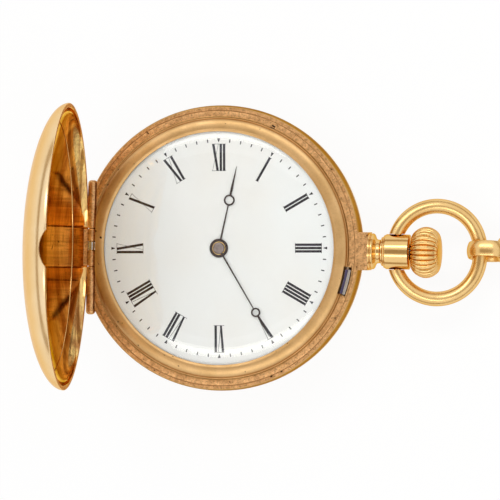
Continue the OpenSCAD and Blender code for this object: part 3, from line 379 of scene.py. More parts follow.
@dataclass(frozen=True)
class Enamel:
    """Fired white enamel: a cool white with a faint warm cloud and a glassy skin."""

    name: str = "white_enamel"
    tone: Colour = (0.91, 0.925, 0.92)
    cloud: Colour = (0.90, 0.89, 0.86)
    cloud_size: float = 90.0
    skin_size: float = 700.0
    wave_size: float = 500.0
    wave: float = 0.08
    wave_depth: float = 0.02

    def build(self) -> bpy.types.Material:
        """Makes the material.

        Returns:
            The material.
        """
        tree = NodeTree.of_material(self.name)
        plain = tree.mapping(EVEN)
        clouds = tree.fit(tree.noise(plain, self.cloud_size, 2.0), 0.4, 0.7)
        skin = tree.fit(tree.noise(plain, self.skin_size, 2.0), 0.3, 0.7, 0.1, 0.2)
        waves = tree.bump(tree.noise(plain, self.wave_size, 1.0), self.wave, self.wave_depth)
        shader = tree.principled(IOR=1.5, Coat_Weight=0.3, Coat_Roughness=0.04)
        tree.join(tree.blend(clouds, self.tone, self.cloud), shader.inputs["Base Color"])
        tree.join(skin, shader.inputs["Roughness"])
        tree.join(waves, shader.inputs["Normal"])
        return tree.close(shader.outputs["BSDF"])


@dataclass(frozen=True)
class Ink:
    """Black firing ink on the dial, a little thin in places."""

    name: str
    tone: Colour
    thin: Colour
    worn_size: float = 2600.0

    def build(self) -> bpy.types.Material:
        """Makes the material.

        Returns:
            The material.
        """
        tree = NodeTree.of_material(self.name)
        worn = tree.fit(tree.noise(tree.mapping(EVEN), self.worn_size, 2.0), 0.45, 0.75)
        shader = tree.principled(Roughness=0.35, Specular_IOR_Level=0.1)
        tree.join(tree.blend(worn, self.tone, self.thin), shader.inputs["Base Color"])
        return tree.close(shader.outputs["BSDF"])


@dataclass(frozen=True)
class Glass:
    """Clear watch glass or a jewel, which lets the lamps through to what lies behind."""

    name: str
    tone: Colour
    index: float
    rough: float = 0.0
    shine: float = 0.5
    haze: float = 0.02
    haze_size: float = 300.0

    def build(self) -> bpy.types.Material:
        """Makes the material.

        Returns:
            The material.
        """
        tree = NodeTree.of_material(self.name)
        haze = tree.noise(tree.mapping(EVEN), self.haze_size, 2.0)
        shader = tree.principled(IOR=self.index, Transmission_Weight=1.0,
                                 Base_Color=(*self.tone, 1.0), Specular_IOR_Level=self.shine)
        tree.join(tree.fit(haze, 0.3, 0.8, self.rough, self.rough + self.haze),
                  shader.inputs["Roughness"])
        clear = tree.nodes.new("ShaderNodeBsdfTransparent")
        clear.inputs["Color"].default_value = (*self.tone, 1.0)
        rays = tree.nodes.new("ShaderNodeLightPath")
        return tree.close(tree.mix(rays.outputs["Is Shadow Ray"], shader.outputs["BSDF"],
                                   clear.outputs["BSDF"]))


class Finish(Enum):
    """Every finish on the watch, some of them with painted shade or painted reflections."""

    POLISHED = Metal("polished_gold", (0.87, 0.585, 0.245), (0.82, 0.53, 0.21), 0.13, 0.04,
                     scratch=0.05)
    LID_OUTSIDE = Metal("lid_gold", (0.92, 0.70, 0.42), (0.89, 0.65, 0.36), 0.22, 0.03,
                        scratch=0.03)
    # Gold of the insides of the lid and back cover and of the catch lip: deep orange with bright and
    # dark streaks along Y that are painted reflections of the gold itself.
    PAINTED_REFLECTION_GOLD = Metal("gold_with_painted_reflections", (1.0, 0.70, 0.26), (0.48, 0.225, 0.075), 0.08, 0.03,
                       patch=420.0, patch_run=(1.0, 0.05, 1.0), scratch=0.12,
                       scratch_size=5200.0, run=(1.0, 0.07, 1.0), fleck=0.5,
                       fleck_run=(1.0, 0.12, 1.0), pits=0.01)
    MATT = Metal("matt_rim_gold", (0.83, 0.48, 0.215), (0.60, 0.325, 0.135), 0.38, 0.06,
                 patch=1500.0, scratch=0.5, scratch_size=5200.0, run=(1.0, 2.6, 1.0), fleck=0.8,
                 grain=0.6, pits=0.04)
    # Darker gold for the band's side faces: painted shade on the same gold as the rim.
    SIDE = Metal("band_side_painted_shade_gold", (0.62, 0.37, 0.14), (0.52, 0.29, 0.10), 0.34, 0.06,
                 scratch=0.2, run=(1.0, 1.0, 0.2), fleck=0.4)
    BEZEL = Metal("bezel_gold", (0.71, 0.455, 0.21), (0.63, 0.39, 0.165), 0.42, 0.05,
                  scratch=0.10, fleck=0.15, pits=0.02)
    WORN = Metal("worn_gold", (0.88, 0.60, 0.26), (0.82, 0.53, 0.21), 0.24, 0.05,
                 scratch=0.06, fleck=0.1)
    CUVETTE = Metal("dust_cover_gold", (0.80, 0.54, 0.25), (0.72, 0.46, 0.2), 0.2, 0.06,
                    scratch=0.14)
    GILT = Metal("gilt_wheels", (0.83, 0.58, 0.23), (0.74, 0.48, 0.17), 0.24, 0.06,
                 scratch=0.2, scratch_size=12000.0)
    COPPER = Metal("dial_copper", (0.62, 0.27, 0.15), (0.48, 0.2, 0.11), 0.42, 0.1, scratch=0.3)
    NICKEL = Metal("grained_nickel", (0.62, 0.60, 0.56), (0.54, 0.52, 0.48), 0.3, 0.06,
                   scratch=0.45, scratch_size=3600.0, run=(0.12, 3.0, 1.0), grain=0.12)
    STEEL = Metal("polished_steel", (0.80, 0.80, 0.82), (0.70, 0.70, 0.72), 0.2, 0.06,
                  scratch=0.25, scratch_size=11000.0, run=(1.0, 0.2, 1.0))
    BLUE = Metal("blued_steel", (0.035, 0.055, 0.23), (0.05, 0.04, 0.17), 0.2, 0.05,
                 scratch=0.2, scratch_size=12000.0)
    VIOLET = Metal("catch_shadow_steel", (0.13, 0.11, 0.20), (0.09, 0.08, 0.16), 0.3, 0.06,
                   scratch=0.2)
    # Browned steel of the hands, also used as painted shade in the band's pry notch.
    HAND = Metal("browned_hand_steel_and_notch_shade", (0.045, 0.025, 0.022), (0.03, 0.018, 0.018), 0.36, 0.08,
                 scratch=0.2)
    BOSS = Metal("brushed_hand_boss", (0.30, 0.24, 0.23), (0.18, 0.14, 0.13), 0.4, 0.08,
                 patch=2600.0, scratch=0.5)
    ENAMEL = Enamel()
    INK = Ink("dial_ink", (0.008, 0.006, 0.014), (0.03, 0.026, 0.04))
    HAIRLINE = Ink("dial_hairline", (0.16, 0.15, 0.17), (0.34, 0.33, 0.35))
    CRYSTAL = Glass("watch_glass", (0.99, 0.995, 0.99), 1.45, shine=0.16)
    RUBY = Glass("ruby", (0.75, 0.04, 0.09), 1.76, 0.05)


MADE: dict[Finish, bpy.types.Material] = {}


def material(finish: Finish) -> bpy.types.Material:
    """Gives a finish's material, made the first time it is asked for."""
    if finish not in MADE:
        MADE[finish] = finish.value.build()
    return MADE[finish]


@dataclass
class Shape:
    """A mesh in the making, in millimetres, until it is placed on a body."""

    name: str

    def __post_init__(self) -> None:
        """Starts with an empty bmesh."""
        self.mesh = bmesh.new()

    def turn(self, profile: list[Point], axis: Axis = Axis.Z, centre: Place = ORIGIN,
             steps: int = 128, loop: bool = False, slots: list[int] | None = None) -> "Shape":
        """Spins a profile a full turn.

        Args:
            profile: Points as distance from the axis and place along it.
            axis: The line that it is spun about.
            centre: A point on that line.
            steps: Number of steps round.
            loop: True where the profile closes on itself, as on a ring.
            slots: Material slot for each edge of the profile.

        Returns:
            This shape.
        """
        along = Vector(axis.value)
        out = Vector((0, 0, 1)) if axis is Axis.X else Vector((1, 0, 0))
        part = bmesh.new()
        kind = part.edges.layers.int.new("slot")
        points = [part.verts.new(Vector(centre) + out * r + along * z) for r, z in profile]
        for i, (a, b) in enumerate(pairs_of(points, loop)):
            part.edges.new((a, b))[kind] = slots[i] if slots else 0
        bmesh.ops.spin(part, geom=part.verts[:] + part.edges[:], cent=centre, axis=along,
                       dvec=(0, 0, 0), angle=math.tau, steps=steps, use_merge=True,
                       use_duplicate=False)
        bmesh.ops.remove_doubles(part, verts=part.verts[:], dist=1e-5)
        bmesh.ops.recalc_face_normals(part, faces=part.faces[:])
        if slots:
            self._paint_turned(part, pairs_of(profile, loop), slots, along, Vector(centre))
        return self.take(part)

    @staticmethod
    def _paint_turned(part: bmesh.types.BMesh, edges: list[tuple[Point, Point]],
                      slots: list[int], along: Vector, centre: Vector) -> None:
        """Gives each face of a turned shape the slot of the profile edge it came from.

        Args:
            part: The turned mesh.
            edges: The profile's edges.
            slots: Their slots.
            along: Direction of the axis.
            centre: A point on the axis.
        """
        for face in part.faces:
            seen = []
            for vert in face.verts:
                offset = vert.co - centre
                z = offset.dot(along)
                seen.append(((offset - along * z).length, z))
            middle = (sum(p[0] for p in seen) / len(seen), sum(p[1] for p in seen) / len(seen))
            gaps = [gap_to(middle, a, b) for a, b in edges]
            face.material_index = slots[gaps.index(min(gaps))]

    def take(self, part: bmesh.types.BMesh, place: Matrix | None = None) -> "Shape":
        """Adds another bmesh to this one and frees it.

        Args:
            part: The mesh to add.
            place: Where it goes.

        Returns:
            This shape.
        """
        if place is not None:
            bmesh.ops.transform(part, matrix=place, verts=part.verts[:])
        passing = bpy.data.meshes.new("passing")
        part.to_mesh(passing)
        part.free()
        self.mesh.from_mesh(passing)
        bpy.data.meshes.remove(passing)
        return self

    def block(self, low: Place, high: Place, place: Matrix | None = None, slot: int = 0) -> "Shape":
        """Adds a box between two corners.

        Args:
            low: Lowest corner.
            high: Highest corner.
            place: A turn or move for it.
            slot: Its material slot.

        Returns:
            This shape.
        """
        part = bmesh.new()
        size = [h - l for l, h in zip(low, high)]
        middle = [(h + l) / 2 for l, h in zip(low, high)]
        bmesh.ops.create_cube(part, size=1.0, matrix=Matrix.Translation(middle) @ Matrix.Diagonal(
            (*size, 1.0)))
        for face in part.faces:
            face.material_index = slot
        return self.take(part, place)

    def rod(self, start: Place, end: Place, radius: float, sides: int = 48,
            end_radius: float | None = None) -> "Shape":
        """Adds a closed round rod between two points.

        Args:
            start: One end.
            end: The other end.
            radius: Radius at the start.
            sides: Number of sides.
            end_radius: Radius at the end, if it differs.

        Returns:
            This shape.
        """
        a, b = Vector(start), Vector(end)
        part = bmesh.new()
        bmesh.ops.create_cone(part, cap_ends=True, segments=sides, radius1=radius,
                              radius2=radius if end_radius is None else end_radius,
                              depth=(b - a).length)
        turn = (b - a).to_track_quat("Z", "Y").to_matrix().to_4x4()
        return self.take(part, Matrix.Translation((a + b) / 2) @ turn)

    def wedge(self, r_in: float, r_out: float, low: float, high: float, start: float,
              end: float, steps: int = 24) -> "Shape":
        """Adds a solid arc of a ring about Z, closed at both ends.

        Args:
            r_in: Inner radius.
            r_out: Outer radius.
            low: Lower face.
            high: Upper face.
            start: First angle in degrees.
            end: Last angle in degrees.
            steps: Steps along the arc.

        Returns:
            This shape.
        """
        part = bmesh.new()
        bmesh.ops.create_grid(part, x_segments=1, y_segments=1, size=0.5)
        upright = Matrix.Rotation(math.radians(90), 4, "X")
        fit = Matrix.Translation(((r_in + r_out) / 2, 0, (low + high) / 2)) @ upright @ (
            Matrix.Diagonal((r_out - r_in, high - low, 1.0, 1.0)))
        bmesh.ops.transform(part, matrix=Matrix.Rotation(math.radians(start), 4, "Z") @ fit,
                            verts=part.verts[:])
        bmesh.ops.spin(part, geom=part.faces[:], cent=(0, 0, 0), axis=(0, 0, 1),
                       dvec=(0, 0, 0), angle=math.radians(end - start), steps=steps,
                       use_duplicate=False)
        bmesh.ops.holes_fill(part, edges=part.edges[:], sides=4)
        bmesh.ops.recalc_face_normals(part, faces=part.faces[:])
        return self.take(part)

    def move(self, place: Matrix) -> "Shape":
        """Moves the whole shape and gives it back."""
        bmesh.ops.transform(self.mesh, matrix=place, verts=self.mesh.verts[:])
        return self

    def clean(self) -> "Shape":
        """Merges doubles and turns the faces outwards."""
        bmesh.ops.remove_doubles(self.mesh, verts=self.mesh.verts[:], dist=1e-5)
        bmesh.ops.recalc_face_normals(self.mesh, faces=self.mesh.faces[:])
        return self

    def object(self) -> bpy.types.Object:
        """Turns the shape into an object in metres and empties it."""
        bmesh.ops.scale(self.mesh, vec=(MM, MM, MM), verts=self.mesh.verts[:])
        return linked(self.name, self.mesh)


def pairs_of(items: list, loop: bool) -> list[tuple]:
    """Pairs of neighbours in a list, with the last and first too if it closes on itself."""
    return list(zip(items, items[1:] + ([items[0]] if loop else [])))


def gap_to(point: Point, a: Point, b: Point) -> float:
    """Distance from a point to the stretch between two others.

    Args:
        point: The point.
        a: One end.
        b: The other end.

    Returns:
        The distance.
    """
    p, start, span = Vector(point), Vector(a), Vector(b) - Vector(a)
    share = max(0.0, min(1.0, (p - start).dot(span) / max(span.length_squared, 1e-12)))
    return (p - start - span * share).length


def rounded(points: list[Point], radii: list[float], loop: bool = True, steps: int = 4) -> list[Point]:
    """Rounds the corners of a profile.

    Args:
        points: Its corners.
        radii: How far each rounding reaches along its edges, in millimetres.
        loop: True if it closes on itself.
        steps: Points in each rounding, less one.

    Returns:
        The profile with rounded corners.
    """
    made: list[Point] = []
    count = len(points)
    for i, (point, reach) in enumerate(zip(points, radii)):
        if reach <= 0 or (not loop and i in (0, count - 1)):
            made.append(point)
            continue
        here = Vector(point)
        before, after = Vector(points[i - 1]), Vector(points[(i + 1) % count])
        a = here + (before - here).normalized() * reach
        b = here + (after - here).normalized() * reach
        for k in range(steps + 1):
            t = k / steps
            spot = a * (1 - t) ** 2 + here * 2 * t * (1 - t) + b * t ** 2
            made.append((spot.x, spot.y))
    return made


def dome(r: float, h: float, z: float, steps: int, side: int = 1) -> list[Point]:
    """Points of a quarter ellipse, from its rim to the middle of its dome.

    Args:
        r: Radius at the rim.
        h: Height of the dome.
        z: Height of the rim.
        steps: Steps along it.
        side: 1 for a dome that rises and -1 for one that sinks.

    Returns:
        The points.
    """
    turns = [math.pi / 2 * i / steps for i in range(steps + 1)]
    return [(r * math.cos(t) if i < steps else 0.0, z + side * h * math.sin(t))
            for i, t in enumerate(turns)]


def circle(middle: Point, radius: float, steps: int) -> list[Point]:
    """Points of a round section about a middle."""
    turns = [math.tau * i / steps for i in range(steps)]
    return [(middle[0] + radius * math.cos(t), middle[1] + radius * math.sin(t)) for t in turns]


def turned(degrees: float, axis: str = "Z") -> Matrix:
    """A turn about an axis through the origin."""
    return Matrix.Rotation(math.radians(degrees), 4, axis)


def in_metres(place: Matrix) -> Matrix:
    """A move given in millimetres, for a mesh that is in metres."""
    return Matrix.Scale(MM, 4) @ place @ Matrix.Scale(1 / MM, 4)


def linked(name: str, part: bmesh.types.BMesh) -> bpy.types.Object:
    """Makes an object of a bmesh, which it frees, and links it to the scene.

    Args:
        name: The object's name and its mesh's.
        part: The bmesh, in metres.

    Returns:
        The object.
    """
    mesh = bpy.data.meshes.new(name)
    part.to_mesh(mesh)
    part.free()
    made = bpy.data.objects.new(name, mesh)
    bpy.context.scene.collection.objects.link(made)
    return made


@dataclass
class Dresser:
    """Places finished pieces on their bodies and reports them."""

    count: int = 0
    merge: float = 2e-7
    sliver: float = 1e-7
    flat: float = 0.5

    def cut(self, piece: bpy.types.Object, tool: Shape) -> None:
        """Cuts a tool's shape out of a piece.

        Args:
            piece: The piece.
            tool: The shape that is taken away.
        """
        cutter = tool.clean().object()
        work = piece.modifiers.new("cut", "BOOLEAN")
        work.operation = "DIFFERENCE"
        work.solver = "EXACT"
        work.object = cutter
        cutter.data.materials.append(None)
        view = bpy.context.view_layer
        view.update()
        shaped = bpy.data.meshes.new_from_object(piece.evaluated_get(view.depsgraph))
        piece.modifiers.clear()
        old = piece.data
        piece.data = shaped
        shaped.name = piece.name
        bpy.data.meshes.remove(old)
        bpy.data.objects.remove(cutter)

    def smooth(self, piece: bpy.types.Object, angle: float) -> None:
        """Shades a piece smooth, with sharp edges where its faces turn by more than an angle.

        Args:
            piece: The piece.
            angle: The angle in degrees.
        """
        piece.data.polygons.foreach_set("use_smooth", [True] * len(piece.data.polygons))
        piece.data.set_sharp_from_angle(angle=math.radians(angle))

    def soften(self, piece: bpy.types.Object, width: float, angle: float = 40.0) -> None:
        """Takes the sharp edges off a piece.

        Args:
            piece: The piece.
            width: Width of the broken edge in millimetres.
            angle: Smallest turn between faces that counts as an edge.
        """
        edge = piece.modifiers.new("broken_edges", "BEVEL")
        edge.width = width * MM
        edge.segments = 2
        edge.limit_method = "ANGLE"
        edge.angle_limit = math.radians(angle)
        edge.harden_normals = False

    def place(self, piece: bpy.types.Object, body: str, slot: Slot, finishes: list[Finish],
              *nodes: str, angle: float | None = None) -> bpy.types.Object:
        """Gives a piece its finishes and its body, and hides the nodes that it stands for.

        Args:
            piece: The piece.
            body: The body that it rides on.
            slot: The record's slot of its material; not used.
            finishes: Its finishes, in the order of its material slots.
            *nodes: The nodes that it replaces.
            angle: Turn between faces above which it isn't shaded smooth, or none for flat faces.

        Returns:
            The piece.
        """
        if angle is not None:
            self.smooth(piece, angle)
        mesh = piece.data
        kept = [face.material_index for face in mesh.polygons]
        mesh.materials.clear()
        for finish in finishes:
            mesh.materials.append(material(finish))
        mesh.polygons.foreach_set("material_index", kept)
        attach(piece, body)
        if nodes:
            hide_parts(*nodes)
        self.count += 1
        LOG.info("placed %s on %s", piece.name, body)
        return piece

    def copy_of(self, node: str, name: str) -> bpy.types.Object:
        """A merged copy of a node's mesh, with its place kept.

        Args:
            node: The node.
            name: The copy's name.

        Returns:
            The copy.
        """
        part = bmesh.new()
        part.from_mesh(frame["nodes"][node].data)
        bmesh.ops.remove_doubles(part, verts=part.verts[:], dist=self.merge)
        bmesh.ops.dissolve_degenerate(part, edges=part.edges[:], dist=self.sliver)
        bmesh.ops.recalc_face_normals(part, faces=part.faces[:])
        bmesh.ops.dissolve_limit(part, angle_limit=math.radians(self.flat), verts=part.verts[:],
                                 edges=part.edges[:])
        for face in part.faces:
            face.material_index = 0
        return linked(name, part)


@dataclass(frozen=True)
class CaseSizes:
    """Sizes and places that several sub-assemblies share, in millimetres and degrees."""

    rim_z: float = 7.9
    stem_z: float = 6.25
    bow_x: float = 22.66
    hinge_x: float = -16.6
    front_hinge_z: float = 7.28
    hinge_flat: float = -17.55
    catch_high: float = -8.1
    catch_low: float = -18.8
    finger_y: float = -0.05
    dial_turn: float = 1.3
    far: float = 30.0


CASE = CaseSizes()


@dataclass
class CaseBand:
    """The band with its matt rim, the pry notch, and the grooves that the rim carries."""

    groove_in: float = 17.38
    groove_out: float = 17.48
    groove_z: float = 7.81
    foot_in: float = 16.6
    foot_out: float = 16.74
    foot_drop: float = 0.03
    clear_z: float = 9.0
    notch_start: Place = (6.5, 15.68, 7.80)
    notch_end: Place = (6.92, 15.44, 7.80)
    notch_r: float = 0.26
    notch_reach: float = 0.4
    slit_at: Place = (16.78, -1.62, 0.0)
    slit_turn: float = -18.0
    slit_low: Place = (-0.07, -0.26, 7.7)
    slit_high: Place = (0.07, 0.26, 8.2)

    def part_of(self, face: bpy.types.MeshPolygon) -> BandPart:
        """Tells which part of the band a face belongs to.

        Args:
            face: The face.

        Returns:
            The part.
        """
        middle, upright = face.center / MM, face.normal.z
        notch = (Vector(self.notch_start) + Vector(self.notch_end)) / 2
        # Faces in the pry notch get painted shade.
        if middle.z < CASE.rim_z - 0.05 and (middle - notch).length < self.notch_reach:
            return BandPart.NOTCH_PAINTED_SHADE
        if 0.5 < upright < LEVEL and middle.z > self.groove_z:
            return BandPart.GROOVE
        if upright > LEVEL and middle.z > CASE.rim_z - 0.02:
            inside = math.hypot(middle.x, middle.y) < self.groove_in
            return BandPart.RIM if inside else BandPart.EDGE
        # Every other face, the band's side, takes painted shade.
        return BandPart.SIDE

    def build(self, bench: Dresser) -> None:
        """Makes the band from the node's own shape, with the rim's fine lines cut in it.

        Args:
            bench: Places the piece.
        """
        band = bench.copy_of("case_middle", "case_band")
        foot_z = self.groove_z - self.foot_drop
        for name, (r_in, z_in), (r_out, z_out) in (
                ("rim_line", (self.groove_in, CASE.rim_z), (self.groove_out, self.groove_z)),
                ("foot_line", (self.foot_in, foot_z), (self.foot_out, foot_z))):
            section = [(r_in, z_in), (r_out, z_out), (r_out, self.clear_z), (r_in, self.clear_z)]
            bench.cut(band, Shape(name).turn(section, loop=True, steps=ROUND))
        bench.cut(band, Shape("pry_notch").rod(self.notch_start, self.notch_end, self.notch_r, 3))
        turn = Matrix.Translation(self.slit_at) @ turned(self.slit_turn)
        bench.cut(band, Shape("rim_slit").block(self.slit_low, self.slit_high, turn))
        for face in band.data.polygons:
            face.material_index = self.part_of(face)
        bench.soften(band, 0.02)
        # Slot 2 takes the darker side gold and slot 4 the dark hand steel, both as painted shade.
        bench.place(band, "case", Slot.GOLD, [Finish.POLISHED, Finish.MATT, Finish.SIDE,
                                              Finish.BEZEL, Finish.HAND], "case_middle", angle=28.0)


@dataclass
class Bezel:
    """The glass bezel: a small bead at its foot, a swelling crest and a bevel down to the glass."""

    outer_r: float = 16.6
    glass_r: float = 14.8
    seat_r: float = 15.05
    wall_r: float = 15.35
    low_z: float = 7.22
    foot_z: float = 7.75
    glass_z: float = 8.372
    crest_r: float = 16.42
    crest_run: float = 1.18
    crest_z: float = 8.02
    crest_rise: float = 0.48
    crest_steps: int = 14
    hinge_edge: float = -15.95
    finger_in: float = -15.3
    half_finger: float = 0.6
    catch_r: float = 16.24
    low_room: float = 0.6
    high_room: float = 1.2

    def build(self, bench: Dresser) -> None:
        """Turns the bezel and cuts the places of the hinge, the spring's finger and the catch.

        Args:
            bench: Places the piece.
        """
        turns = [math.pi / 2 * i / self.crest_steps for i in range(1, self.crest_steps + 1)]
        section = [(self.seat_r, self.low_z), (self.wall_r, self.low_z), (self.wall_r, self.foot_z),
                   (self.outer_r, self.foot_z), (self.outer_r, 7.93), (16.56, 7.99),
                   (16.50, 8.0), (16.44, 7.97)]
        section += [(self.crest_r - self.crest_run * (1 - math.cos(t)),
                     self.crest_z + self.crest_rise * math.sin(t)) for t in turns]
        section += [(15.06, 8.485), (15.0, 8.46), (14.93, 8.42), (14.84, 8.42),
                    (self.glass_r, 8.40), (self.glass_r, self.glass_z), (self.seat_r, self.glass_z)]
        bezel = Shape("bezel_ring").turn(section, loop=True, steps=ROUND).object()
        finger, half = CASE.finger_y, self.half_finger
        for tool in (
                Shape("bezel_places").block((-CASE.far, -CASE.far, 5), (self.hinge_edge, CASE.far, 12)),
                Shape("finger_place").block((CASE.hinge_x, finger - half, 5),
                                            (self.finger_in, finger + half, 7.85)),
                Shape("catch_place").wedge(self.catch_r, 20.0, 5.0, 10.0,
                                           CASE.catch_low - self.low_room,
                                           CASE.catch_high + self.high_room)):
            bench.cut(bezel, tool)
        bench.place(bezel, "case", Slot.GOLD, [Finish.BEZEL], "bezel", angle=34.0)


@dataclass
class Crystal:
    """The domed glass, shut in under the bezel."""

    edge_r: float = 15.02
    rise: float = 0.82
    steps: int = 48
    top: Point = (14.72, 8.34)
    under: Point = (14.5, 8.05)

    def skin(self, rim: Point) -> list[Point]:
        """One face of the glass, flat in the middle and bent down towards its rim.

        Args:
            rim: Its radius and height at the rim.

        Returns:
            Its points, from the rim to the middle.
        """
        shares = [1 - (i / self.steps) ** 1.5 for i in range(self.steps + 1)]
        return [(rim[0] * t, rim[1] + self.rise * (1 - t ** 6)) for t in shares]

    def build(self, bench: Dresser) -> None:
        """Turns the glass.

        Args:
            bench: Places the piece.
        """
        low, high = (self.edge_r, self.under[1]), (self.edge_r, self.top[1])
        section = [low, high] + self.skin(self.top) + self.skin(self.under)[::-1] + [low]
        glass = Shape("watch_crystal").turn(section, steps=160).object()
        bench.place(glass, "case", Slot.CRYSTAL, [Finish.CRYSTAL], "crystal", angle=40.0)


@dataclass
class Dial:
    """The enamel dial with its fired numerals and minute track."""

    bore_r: float = 1.0
    edge_r: float = 14.84
    back_z: float = 7.6
    face_z: float = 7.92
    ink_t: float = 0.014
    ink_sink: float = 0.004
    foot_r: float = 9.8
    head_r: float = 13.17
    thick: float = 0.31
    thin: float = 0.05
    pitch: float = 0.42
    v_width: float = 0.92
    x_width: float = 0.96
    track_r: float = 13.40
    tick_r: float = 13.82
    mark_r: float = 13.88
    tick: float = 0.14
    mark: float = 0.36

    def build(self, bench: Dresser) -> None:
        """Makes the enamel, the numerals and the track.

        Args:
            bench: Places the pieces.
        """
        section = rounded([(self.bore_r, self.back_z), (self.edge_r, self.back_z),
                           (self.edge_r, self.face_z), (self.bore_r, self.face_z)],
                          [0.0, 0.04, 0.08, 0.06])
        enamel = Shape("dial_face").turn(section, loop=True, steps=160).object()
        bench.place(enamel, "case", Slot.ENAMEL, [Finish.ENAMEL], "dial_enamel", angle=34.0)
        ink = Shape("dial_print")
        for hour, word in enumerate(("XII", "I", "II", "III", "IIII", "V", "VI", "VII", "VIII",
                                     "IX", "X", "XI")):
            self.numeral(ink, word, self.spot(hour * 30.0))
        for minute in range(60):
            at, low = self.spot(minute * 6.0), (0, self.track_r)
            if minute % 5:
                self.stroke(ink, at, low, (0, self.tick_r), self.tick)
            else:
                self.stroke(ink, at, low, (0, self.mark_r), self.thin, 0, self.mark)
        bench.place(ink.object(), "case", Slot.HAND, [Finish.INK, Finish.HAIRLINE])

    def spot(self, angle: float) -> Matrix:
        """The place of a mark at an angle past twelve, with its head out."""
        return turned(CASE.dial_turn - angle)

    def stroke(self, ink: Shape, at: Matrix, start: Point, end: Point, width: float,
               slot: int = 0, head_width: float | None = None) -> None:
        """Adds one stroke of ink.

        Args:
            ink: The print.
            at: Place of the numeral.
            start: Its foot, across and out from the middle.
            end: Its head.
            width: Its width.
            slot: 0 for full ink and 1 for a hairline.
            head_width: Width at its head, if it differs.
        """
        a, b = Vector((*start, 0)), Vector((*end, 0))
        span = b - a
        part = bmesh.new()
        bmesh.ops.create_cube(part, size=1.0)
        if head_width is not None:
            for vert in part.verts:
                if vert.co.y > 0:
                    vert.co.x *= head_width / width
        turn = Matrix.Rotation(math.atan2(span.y, span.x) - math.pi / 2, 4, "Z")
        middle = (a + b) / 2 + Vector((0, 0, self.face_z + self.ink_t / 2 - self.ink_sink))
        size = Matrix.Diagonal((width, span.length, self.ink_t, 1.0))
        for face in part.faces:
            face.material_index = slot
        ink.take(part, at @ Matrix.Translation(middle) @ turn @ size)

    def numeral(self, ink: Shape, word: str, at: Matrix) -> None:
        """Adds a numeral with thick and thin strokes and thin serif lines.

        Args:
            ink: The print.
            word: The numeral.
            at: Its place.
        """
        widths = {"I": self.pitch, "V": self.v_width, "X": self.x_width}
        across = -sum(widths[letter] for letter in word) / 2
        foot, head = self.foot_r, self.head_r
        for letter in word:
            half = widths[letter] / 2
            middle = across + half
            if letter == "I":
                self.stroke(ink, at, (middle, foot), (middle, head), self.thick)
            elif letter == "V":
                self.stroke(ink, at, (middle, foot), (middle - half + 0.19, head),
                            self.thick * 0.8, 0, self.thick)
                self.stroke(ink, at, (middle + 0.03, foot), (middle + half - 0.12, head),
                            self.thin)
            else:
                self.stroke(ink, at, (middle + half - 0.2, foot), (middle - half + 0.2, head),
                            self.thick)
                self.stroke(ink, at, (middle - half + 0.1, foot), (middle + half - 0.1, head),
                            self.thin, 1)
            reach = half + (0.04 if letter == "I" else -0.02)
            for edge in (foot, head):
                self.stroke(ink, at, (middle - reach, edge), (middle + reach, edge), self.thin)
            across += widths[letter]


@dataclass(frozen=True)
class HandSize:
    """Sizes of one hand.

    Attributes:
        past: Its angle past the dial's twelve, in degrees.
        low: Height of its lower face.
        ring_at: Distance of its ring from the middle.
        ring_r: Outer radius of the ring.
        tip: Distance of its tip.
        hub_r: Radius of its hub.
        shaft: Half width of the shaft.
        blade: Half width of the blade.
        bore: Radius of the hole in the hub.
    """

    past: float
    low: float
    ring_at: float
    ring_r: float
    tip: float
    hub_r: float
    shaft: float
    blade: float
    bore: float


